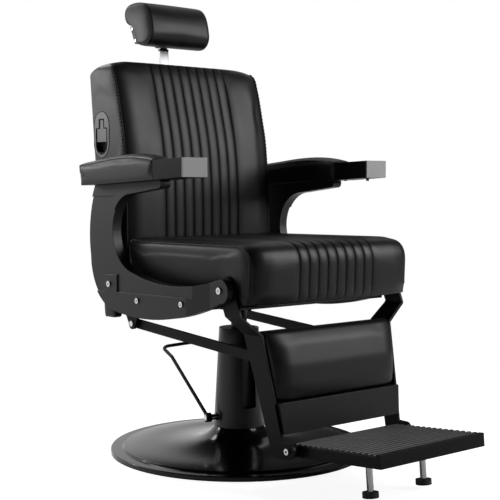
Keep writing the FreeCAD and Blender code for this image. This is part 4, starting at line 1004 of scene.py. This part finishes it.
@dataclass
class SeatCushion(Pad):
    """Channelled seat that rolls over a round nose, dimpled beside the footrest's pivots."""

    pivot: Point2 = (-300.0, 482.0)
    dimple: float = 24.0              # radius of the dimple round a pivot's nut
    dimple_half: float = 263.0        # half width of the seat at a dimple's floor
    dimple_depth: float = 12.0
    sides: Point2 = (200.0, 270.0)    # distance from the middle over which the seat falls and draws in
    side_fall: float = 5.0
    fall_starts: Point2 = (0.1, 0.2)       # share of the skin where that fall sets in
    tuck: float = 0.08                # how far the sides draw in below, as a share of the width
    tuck_z: float = 575.0             # height where that begins, and its run downwards
    tuck_run: float = 130.0
    tuck_power: float = 1.6
    tuck_y: Point2 = (-330.0, -250.0)      # behind the nose only
    lift: float = 0.018               # how far the sides draw in at the top edge
    lift_z: float = 550.0
    lift_run: float = 45.0
    lip_rise: float = 4.0             # how much higher the front lip hangs at its ends
    lip_x: Point2 = (110.0, 285.0)         # distance from the middle over which it rises
    lip_y: Point2 = (-300.0, -240.0)       # only in front of these places
    lip_z: Point2 = (446.0, 530.0)         # and below these heights

    @classmethod
    def template(cls) -> "SeatCushion":
        """The seat from its side template."""
        skin = filleted([(150, 500, 0), (150, 591, 12), (-398, 599, 116), (-393, 470, 36), (-380, 446, 0)])
        side = filleted([(150, 500, 0), (150, 591, 12), (-372, 596, 66), (-367, 446, 0)])
        rear = [(150, 500), (122, 497), (122, 438), (-300, 438)]
        base = rear + [(-380, 446)]
        return cls("seat_cushion_cover", "seat", "seat_cushion", skin, base, 270.0, corner=13.0, pitch=31.2,
                   channels=8, seam_depth=3.6, panel_rise=1.0, cell=6.5, stuffing=Stuffing(cap_mm=1.2),
                   end_skin=side, end_base=rear + [(-367, 446)], end_reach=38.0, round_ends=True)

    def swell(self, x: np.ndarray, share: np.ndarray) -> np.ndarray:
        """Height of the skin, which falls a little towards the side welts.

        Args:
            x: X of the stations in mm.
            share: Place along the skin, 0 to 1.

        Returns:
            Heights in mm, one row for each station.
        """
        fall = self.side_fall * smoothstep(*self.sides, np.abs(x))
        return super().swell(x, share) - np.outer(fall, smoothstep(*self.fall_starts, share))

    def fit(self, piece: bpy.types.Object) -> None:
        """Press dimples for the pivot nuts and round the lip's lower corners.

        Args:
            piece: The cushion's mesh.
        """
        p = positions(piece) / MM
        away = np.hypot(p[:, 1] - self.pivot[0], p[:, 2] - self.pivot[1])
        dent = smoothstep(self.dimple * 0.6, self.dimple * 1.6, away)
        limit = self.dimple_half + self.dimple_depth * dent
        p[:, 0] = np.clip(p[:, 0], -limit, limit)
        below = np.clip((self.tuck_z - p[:, 2]) / self.tuck_run, 0, 1)
        tucked = below ** self.tuck_power * smoothstep(*self.tuck_y, p[:, 1])
        lifted = np.clip((p[:, 2] - self.lift_z) / self.lift_run, 0, 1) ** 2
        p[:, 0] *= 1 - (self.tuck * tucked + self.lift * lifted) * smoothstep(*self.sides, np.abs(p[:, 0]))
        lip = (1 - smoothstep(*self.lip_y, p[:, 1])) * (1 - smoothstep(*self.lip_z, p[:, 2]))
        p[:, 2] += self.lip_rise * smoothstep(*self.lip_x, np.abs(p[:, 0])) * lip
        set_positions(piece, p * MM)


@dataclass
class HeadCushion(Pad):
    """Headrest roll: comma-shaped ends with a welt, and a plain round face."""

    @classmethod
    def template(cls) -> "HeadCushion":
        """The headrest from its end template."""
        base = [(366.7, 1199.7), (338.7, 1142.7)]
        skin = smooth_line([base[0], (382, 1201), (397, 1208), (408, 1221), (411, 1240), (400, 1256),
                            (374, 1264), (338, 1264), (307, 1255), (286, 1235), (275, 1209), (269.5, 1184),
                            (269, 1168), (275.5, 1152), (291, 1140.5), (314, 1136), base[1]], 6)
        return cls("headrest_cover", "headrest", "headrest_cushion", skin, base, 105.0, corner=9.0,
                   panel_rise=2.5, cell=5.0, stuffing=Stuffing(cap_mm=2.5))


@dataclass
class ArmPad(Pad):
    """Arm pad: flat below, crowned across its top."""

    @classmethod
    def template(cls, side: int) -> "ArmPad":
        """One arm pad from its side template.

        Args:
            side: -1 for the sitter's right, 1 for the left.

        Returns:
            The pad, ready to build.
        """
        name = f"arm_pad_{side_name(side)}"
        top = smooth_line([(266, 789), (185, 796), (100, 804), (25, 807), (-40, 804), (-84, 798)], 8)
        skin = [(253, 733), (262, 757)] + top + [(-92, 790), (-92, 748)]
        return cls(f"{name}_cover", "seat", name, skin, [(253, 733), (-92, 748)], 37.0, centre=side * 312.5,
                   corner=8.0, crown=7.0, panel_rise=1.0, cell=5.0, stuffing=Stuffing(cap_mm=1.5))


END_THICKNESS = 0.4     # thickness of the leg pad at its ends, against its middle


@dataclass
class LegPad(Pad):
    """Plump leg pad on the footrest's panel."""

    foot: float = 215.0               # height at which the width is measured
    splay: float = 0.075              # the arms beside it spread by this much per unit of height

    @classmethod
    def template(cls) -> "LegPad":
        """The leg pad from its side template."""
        (low_y, low_z), (high_y, high_z) = base = [(-376.6, 215.5), (-345.3, 383)]
        skin = filleted([(low_y, low_z, 0), (-407, 216, 8), (-411, 250, 60), (-407, 300, 90), (-394, 352, 40),
                         (-377, 382, 15), (high_y, high_z, 0)])
        thin = []
        for y, z in skin:
            panel = low_y + (z - low_z) * (high_y - low_y) / (high_z - low_z)
            thin.append((panel + (y - panel) * END_THICKNESS, z))
        return cls("leg_pad_cover", "footrest", "leg_pad", skin, base, 202.0, corner=4.0, panel_rise=1.0,
                   cell=6.0, end_skin=thin, end_reach=48.0, round_ends=True, stuffing=Stuffing(cap_mm=1.5))

    def fit(self, piece: bpy.types.Object) -> None:
        """Spread the pad with the footrest's arms.

        Args:
            piece: The pad's mesh.
        """
        p = positions(piece)
        p[:, 0] *= 1 + self.splay * (p[:, 2] / MM - self.foot) / self.half
        set_positions(piece, p)


@dataclass
class Upholsterer:
    """Builds every soft piece of the chair."""

    plane: BackPlane = field(default_factory=BackPlane)
    welt_radius: float = 2.2

    def build(self) -> None:
        """Make the cushions, pads and welts."""
        back = BackCushion.fitted(self.plane)
        cover = back.build()
        seat = SeatCushion.template()
        seat_cover = seat.build()
        head = HeadCushion.template()
        head_cover = head.build()
        for side in (-1, 1):
            BackEar.fitted(self.plane, side).build()
            arm = ArmPad.template(side)
            arm_cover = arm.build()
            for edge in (-1, 1):
                arm.welt(arm_cover, edge, self.welt_radius * 0.7, start=0.08, end=0.88)
            back.welt(cover, side, self.welt_radius + 0.6, start=0.02, end=0.84, gather=1.1)
            back.pleats(cover, side, start=0.45, end=0.84)
            seat.welt(seat_cover, side, self.welt_radius + 0.4, start=0.14, end=0.97)
            head.welt(head_cover, side, self.welt_radius * 0.8, start=0.02, end=0.98)
        LegPad.template().build()


HEX = 6                 # sides of a bolt's socket
# The socket's rings, from the outside in: mm proud of the bolt's head, share of the radius.
SOCKET_STEPS = ((-0.4, 1.0), (0.15, 1.0), (0.15, 0.7), (-0.1, 0.55))


@dataclass
class Hardware:
    """Bolt sockets in a black of painted shade, and the finishes of the pieces that come with the frame."""

    bolts: tuple[tuple[str, float, float, float, float], ...] = (
        ("seat", 319.0, 169.0, 467.0, 3.7), ("seat", 319.0, 31.0, 432.0, 3.4),
        ("seat", 319.0, -166.0, 439.0, 3.4), ("seat", 304.0, -300.0, 482.0, 3.7),
        ("footrest", 208.2, -438.0, 103.5, 3.5))     # body, x, y, z, radius over the socket's corners

    def build(self) -> None:
        """Dress the frame's nodes and sink a socket, black as painted shade, in each bolt head."""
        for entry in frame["record"]["subparts"]:
            node = frame["nodes"][entry["node"]]
            node.data.materials.clear()
            finish = NODE_FINISH.get(entry["node"], SLOT_FINISH[entry["material_slot"]])
            node.data.materials.append(material_of(finish))
        LOG.info("finishes on %d nodes", len(frame["nodes"]))
        for number, bolt in enumerate(self.bolts):
            for side in (-1, 1):
                self.socket(number, side, *bolt)

    @staticmethod
    def socket(number: int, side: int, body: str, x: float, y: float, z: float, radius: float) -> None:
        """Dark six-sided socket on a bolt head, its black painted shade.

        Args:
            number: Number of the bolt, for its name.
            side: -1 for the sitter's right, 1 for the left.
            body: Body that carries the bolt.
            x: Distance of the head's face from the middle, in mm.
            y: Y of the bolt in mm.
            z: Z of the bolt in mm.
            radius: Radius over the socket's corners in mm.
        """
        points = []
        for proud, share in SOCKET_STEPS:
            size = radius * share
            for turn in range(HEX):
                angle = math.radians(60 * turn + 30)
                points.append((side * (x + proud), y + size * math.cos(angle), z + size * math.sin(angle)))
        floor = range(len(points) - HEX, len(points))
        faces = tube_faces(len(SOCKET_STEPS), HEX) + [tuple(floor)]
        piece = link_mesh(f"bolt_socket_shade_{number}_{side_name(side)}", np.array(points) * MM, faces)
        # painted shade: the socket's depth is drawn in the darkest black
        piece.data.materials.append(material_of(Finish.SOCKET))
        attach(piece, body)


@dataclass
class ReleaseTrim:
    """Dark lines of painted shade in the gaps round the release and its mouth, and a dark cup of painted
    shade in the finger hollow.
    """

    face: float = -257.0              # X of the housing's face in mm
    middle: Point2 = (296.0, 875.0)
    half: float = 39.0
    straight: float = 25.5            # half of the oval's straight run
    mouth_half: float = 28.0
    mouth: tuple[float, float] = (820.0, 893.0)    # lowest and highest z of the mouth
    stem_half: float = 12.0
    stem_top: float = 918.5
    depth: float = 15.4
    # radius of the dark lines that paint the shade in the gaps
    bead: float = 1.3
    outer_line_sunk: float = 0.6           # how far the outer dark line and the dark cup lie behind the face
    shade_cup_sunk: float = 0.4
    arc_points: int = 17              # points on a half circle
    shade_cup_fit: float = 0.985          # size of the dark cup against the mouth that it fills
    shade_cup_wall: float = 0.3

    def build(self) -> None:
        """Lay the two dark lines and set the dark cup in the hollow."""
        y, z = self.middle
        turn = np.linspace(0, math.pi, self.arc_points)
        oval = [(y + self.half * math.cos(t), z + self.straight + self.half * math.sin(t)) for t in turn]
        oval += [(y - self.half * math.cos(t), z - self.straight - self.half * math.sin(t)) for t in turn]
        self.ring("release_outer_gap_shade", oval, self.face + self.outer_line_sunk)
        foot, top = self.mouth
        chin = foot + self.mouth_half
        hollow = [(y + self.mouth_half, top)]
        hollow += [(y + self.mouth_half * math.cos(t), chin - self.mouth_half * math.sin(t)) for t in turn]
        hollow += [(y - self.mouth_half, top)]
        neck = [(y - self.stem_half, top), (y - self.stem_half, self.stem_top),
                (y + self.stem_half, self.stem_top), (y + self.stem_half, top)]
        self.ring("release_mouth_gap_shade", hollow + neck, self.face)
        self.shade_cup(hollow)

    def ring(self, name: str, outline: list[Point2], x: float) -> None:
        """Lay a closed dark line of painted shade along a gap.

        Args:
            name: Piece name.
            outline: Points that it follows.
            x: X of its middle in mm.
        """
        path = np.array([(x, *point) for point in outline + outline[:1]]) * MM
        cord = tube(name, path, self.bead)
        # painted shade: the black line stands for the dark gap round the housing and round the mouth
        cord.data.materials.append(material_of(Finish.RUBBER))
        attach(cord, "backrest")
        LOG.info("bead %s", name)

    def shade_cup(self, outline: list[Point2]) -> None:
        """Set a dark cup of painted shade into the finger hollow.

        Args:
            outline: Outline of the mouth.
        """
        y, z = self.middle[0], sum(self.mouth) / 2
        inset = [(y + (py - y) * self.shade_cup_fit, z + (pz - z) * self.shade_cup_fit) for py, pz in outline]
        count = len(inset)
        ends = (self.face + self.shade_cup_sunk, self.face + self.depth)
        points = [(x, *point) for x in ends for point in inset]
        faces = tube_faces(2, count) + [tuple(range(count, 2 * count))]
        cup = link_mesh("release_hollow_shade", np.array(points) * MM, faces)
        for polygon in cup.data.polygons:
            polygon.use_smooth = False
        cup.modifiers.new("wall", "SOLIDIFY").thickness = self.shade_cup_wall * MM
        # painted shade: the cup stands for the shadow inside the finger hollow
        cup.data.materials.append(material_of(Finish.SOCKET))
        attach(cup, "backrest")
        LOG.info("liner of the finger hollow")


@dataclass
class Studio:
    """White sweep, soft lights and the camera at the photograph's viewpoint."""

    backdrop: Point3 = (-0.36, 0.8, -0.48)      # middle of the white sweep that gloss mirrors
    backdrop_edge: Point2 = (0.27, 0.36)        # its edge, as the cosine of the angle to that middle
    floor_side: Point3 = (-0.5, 0.86, 0.0)      # side of the floor that gloss mirrors as white
    floor_edge: Point2 = (-0.2, 0.4)            # its edge, in metres along that side
    floor_radius: float = 9.0
    floor_turns: int = 64
    shadow_reach: Point2 = (0.6, 2.0)           # the floor's shadow fades between these distances
    ambient: float = 0.04
    camera_at: Point3 = (-1.9199, -2.4019, 0.7396)
    pitch_deg: float = 86.56
    yaw_deg: float = -39.21
    lens_mm: float = 80.2
    sensor_mm: float = 36.0
    # name, place, target, width, height, power
    lights: tuple[tuple[str, Point3, Point3, float, float, float], ...] = (
        ("front_softbox", (2.05, -2.4, 2.1), (0.0, 0.0, 0.7), 1.0, 2.1, 114.0),
        ("left_softbox", (-1.45, 2.3, 1.4), (-0.2, 0.2, 0.95), 0.65, 0.65, 17.5),
        ("front_fill", (2.3, -2.8, 1.2), (0.0, -0.1, 0.5), 2.0, 1.4, 3.0),
        ("rear_softbox", (-0.2, 2.4, 2.8), (0.0, 0.0, 0.3), 1.2, 1.2, 32.0),
        ("rim_softbox", (1.8, 1.2, 2.6), (0.0, -0.1, 0.6), 1.8, 1.8, 8.0))

    def build(self) -> None:
        """Set the stage, the lights and the camera."""
        self.floor()
        self.surround()
        for name, place, target, width, height, power in self.lights:
            lamp = bpy.data.lights.new(name, "AREA")
            lamp.shape = "RECTANGLE"
            lamp.size, lamp.size_y = width, height
            lamp.energy = power
            light = bpy.data.objects.new(name, lamp)
            light.location = place
            light.rotation_euler = (Vector(target) - Vector(place)).to_track_quat("-Z", "Y").to_euler()
            bpy.context.scene.collection.objects.link(light)
        camera = bpy.data.objects.new("camera", bpy.data.cameras.new("camera"))
        camera.location = self.camera_at
        camera.rotation_euler = (math.radians(self.pitch_deg), 0.0, math.radians(self.yaw_deg))
        camera.data.lens = self.lens_mm
        camera.data.sensor_width = self.sensor_mm
        bpy.context.scene.collection.objects.link(camera)
        bpy.context.scene.camera = camera
        bpy.context.scene.view_settings.view_transform = "Standard"

    def floor(self) -> None:
        """Pale paper floor that keeps the shadow and is white to the camera."""
        turns = [2 * math.pi * i / self.floor_turns for i in range(self.floor_turns)]
        rim = [(self.floor_radius * math.cos(t), self.floor_radius * math.sin(t), 0.0) for t in turns]
        floor = link_mesh("studio_floor", np.array(rim), [tuple(range(self.floor_turns))])
        material, tree = new_material("white_studio_paper")
        place = add_node(tree, "ShaderNodeTexCoord").outputs["Object"]
        behind = add_node(tree, "ShaderNodeVectorMath", {
            0: place, 1: self.floor_side}, operation="DOT_PRODUCT")
        lit = add_node(tree, "ShaderNodeMapRange", {
            "Value": behind.outputs["Value"], "From Min": self.floor_edge[0], "From Max": self.floor_edge[1]})
        seen = self.seen_white(tree, lit.outputs["Result"])
        away = add_node(tree, "ShaderNodeVectorMath", {0: place}, operation="LENGTH")
        open_floor = add_node(tree, "ShaderNodeMapRange", {
            "Value": away.outputs["Value"], "From Min": self.shadow_reach[0],
            "From Max": self.shadow_reach[1]})
        paper = add_node(tree, "ShaderNodeBsdfDiffuse", {"Color": linear("#f4f4f4")})
        shade = add_node(tree, "ShaderNodeBsdfDiffuse", {"Color": linear("#a8a8a8")})
        glow = add_node(tree, "ShaderNodeEmission", {"Color": linear("#ffffff"), "Strength": 0.9})
        white = add_node(tree, "ShaderNodeEmission", {"Color": linear("#ffffff"), "Strength": 1.0})
        near = add_node(tree, "ShaderNodeAddShader", {0: shade.outputs["BSDF"], 1: glow.outputs["Emission"]})
        shown = add_node(tree, "ShaderNodeMixShader", {
            "Fac": open_floor.outputs["Result"], 1: near.outputs["Shader"], 2: white.outputs["Emission"]})
        mixed = add_node(tree, "ShaderNodeMixShader", {
            "Fac": seen, 1: paper.outputs["BSDF"], 2: shown.outputs["Shader"]})
        add_node(tree, "ShaderNodeOutputMaterial", {"Surface": mixed.outputs["Shader"]})
        floor.data.materials.append(material)

    def surround(self) -> None:
        """Dim world that is white to the camera, and to gloss where the sweep stands."""
        world = bpy.data.worlds.new("studio")
        bpy.context.scene.world = world
        world.use_nodes = True
        tree = world.node_tree
        tree.nodes.clear()
        dim = add_node(tree, "ShaderNodeBackground", {"Color": linear("#ffffff"), "Strength": self.ambient})
        white = add_node(tree, "ShaderNodeBackground", {"Color": linear("#ffffff"), "Strength": 1.0})
        way = add_node(tree, "ShaderNodeTexCoord").outputs["Generated"]
        toward = add_node(tree, "ShaderNodeVectorMath", {0: way, 1: self.backdrop}, operation="DOT_PRODUCT")
        sweep = add_node(tree, "ShaderNodeMapRange", {
            "Value": toward.outputs["Value"], "From Min": self.backdrop_edge[0],
            "From Max": self.backdrop_edge[1]})
        both = add_node(tree, "ShaderNodeMixShader", {
            "Fac": self.seen_white(tree, sweep.outputs["Result"]), 1: dim.outputs["Background"],
            2: white.outputs["Background"]})
        add_node(tree, "ShaderNodeOutputWorld", {"Surface": both.outputs["Shader"]})

    @staticmethod
    def seen_white(tree: bpy.types.NodeTree, lit: Socket) -> Socket:
        """Mask of the rays that see white: camera rays, and glossy and transmission rays where it is lit.

        Args:
            tree: Node tree that gets the nodes.
            lit: How white the surround is for mirrored rays, 0 to 1.

        Returns:
            Socket that is 1 for those rays.
        """
        rays = add_node(tree, "ShaderNodeLightPath")
        bent = add_node(tree, "ShaderNodeMath", {0: rays.outputs["Is Glossy Ray"],
                                                 1: rays.outputs["Is Transmission Ray"]}, operation="MAXIMUM")
        mirrored = add_node(tree, "ShaderNodeMath", {0: bent.outputs["Value"], 1: lit}, operation="MULTIPLY")
        every = add_node(tree, "ShaderNodeMath", {
            0: rays.outputs["Is Camera Ray"], 1: mirrored.outputs["Value"]}, operation="MAXIMUM")
        return every.outputs["Value"]


def main() -> None:
    """Build the chair's looks in order."""
    logging.basicConfig(level=logging.INFO, format="%(name)s: %(message)s")
    Studio().build()
    Hardware().build()
    ReleaseTrim().build()
    Upholsterer().build()


if __name__ == "__main__":
    main()
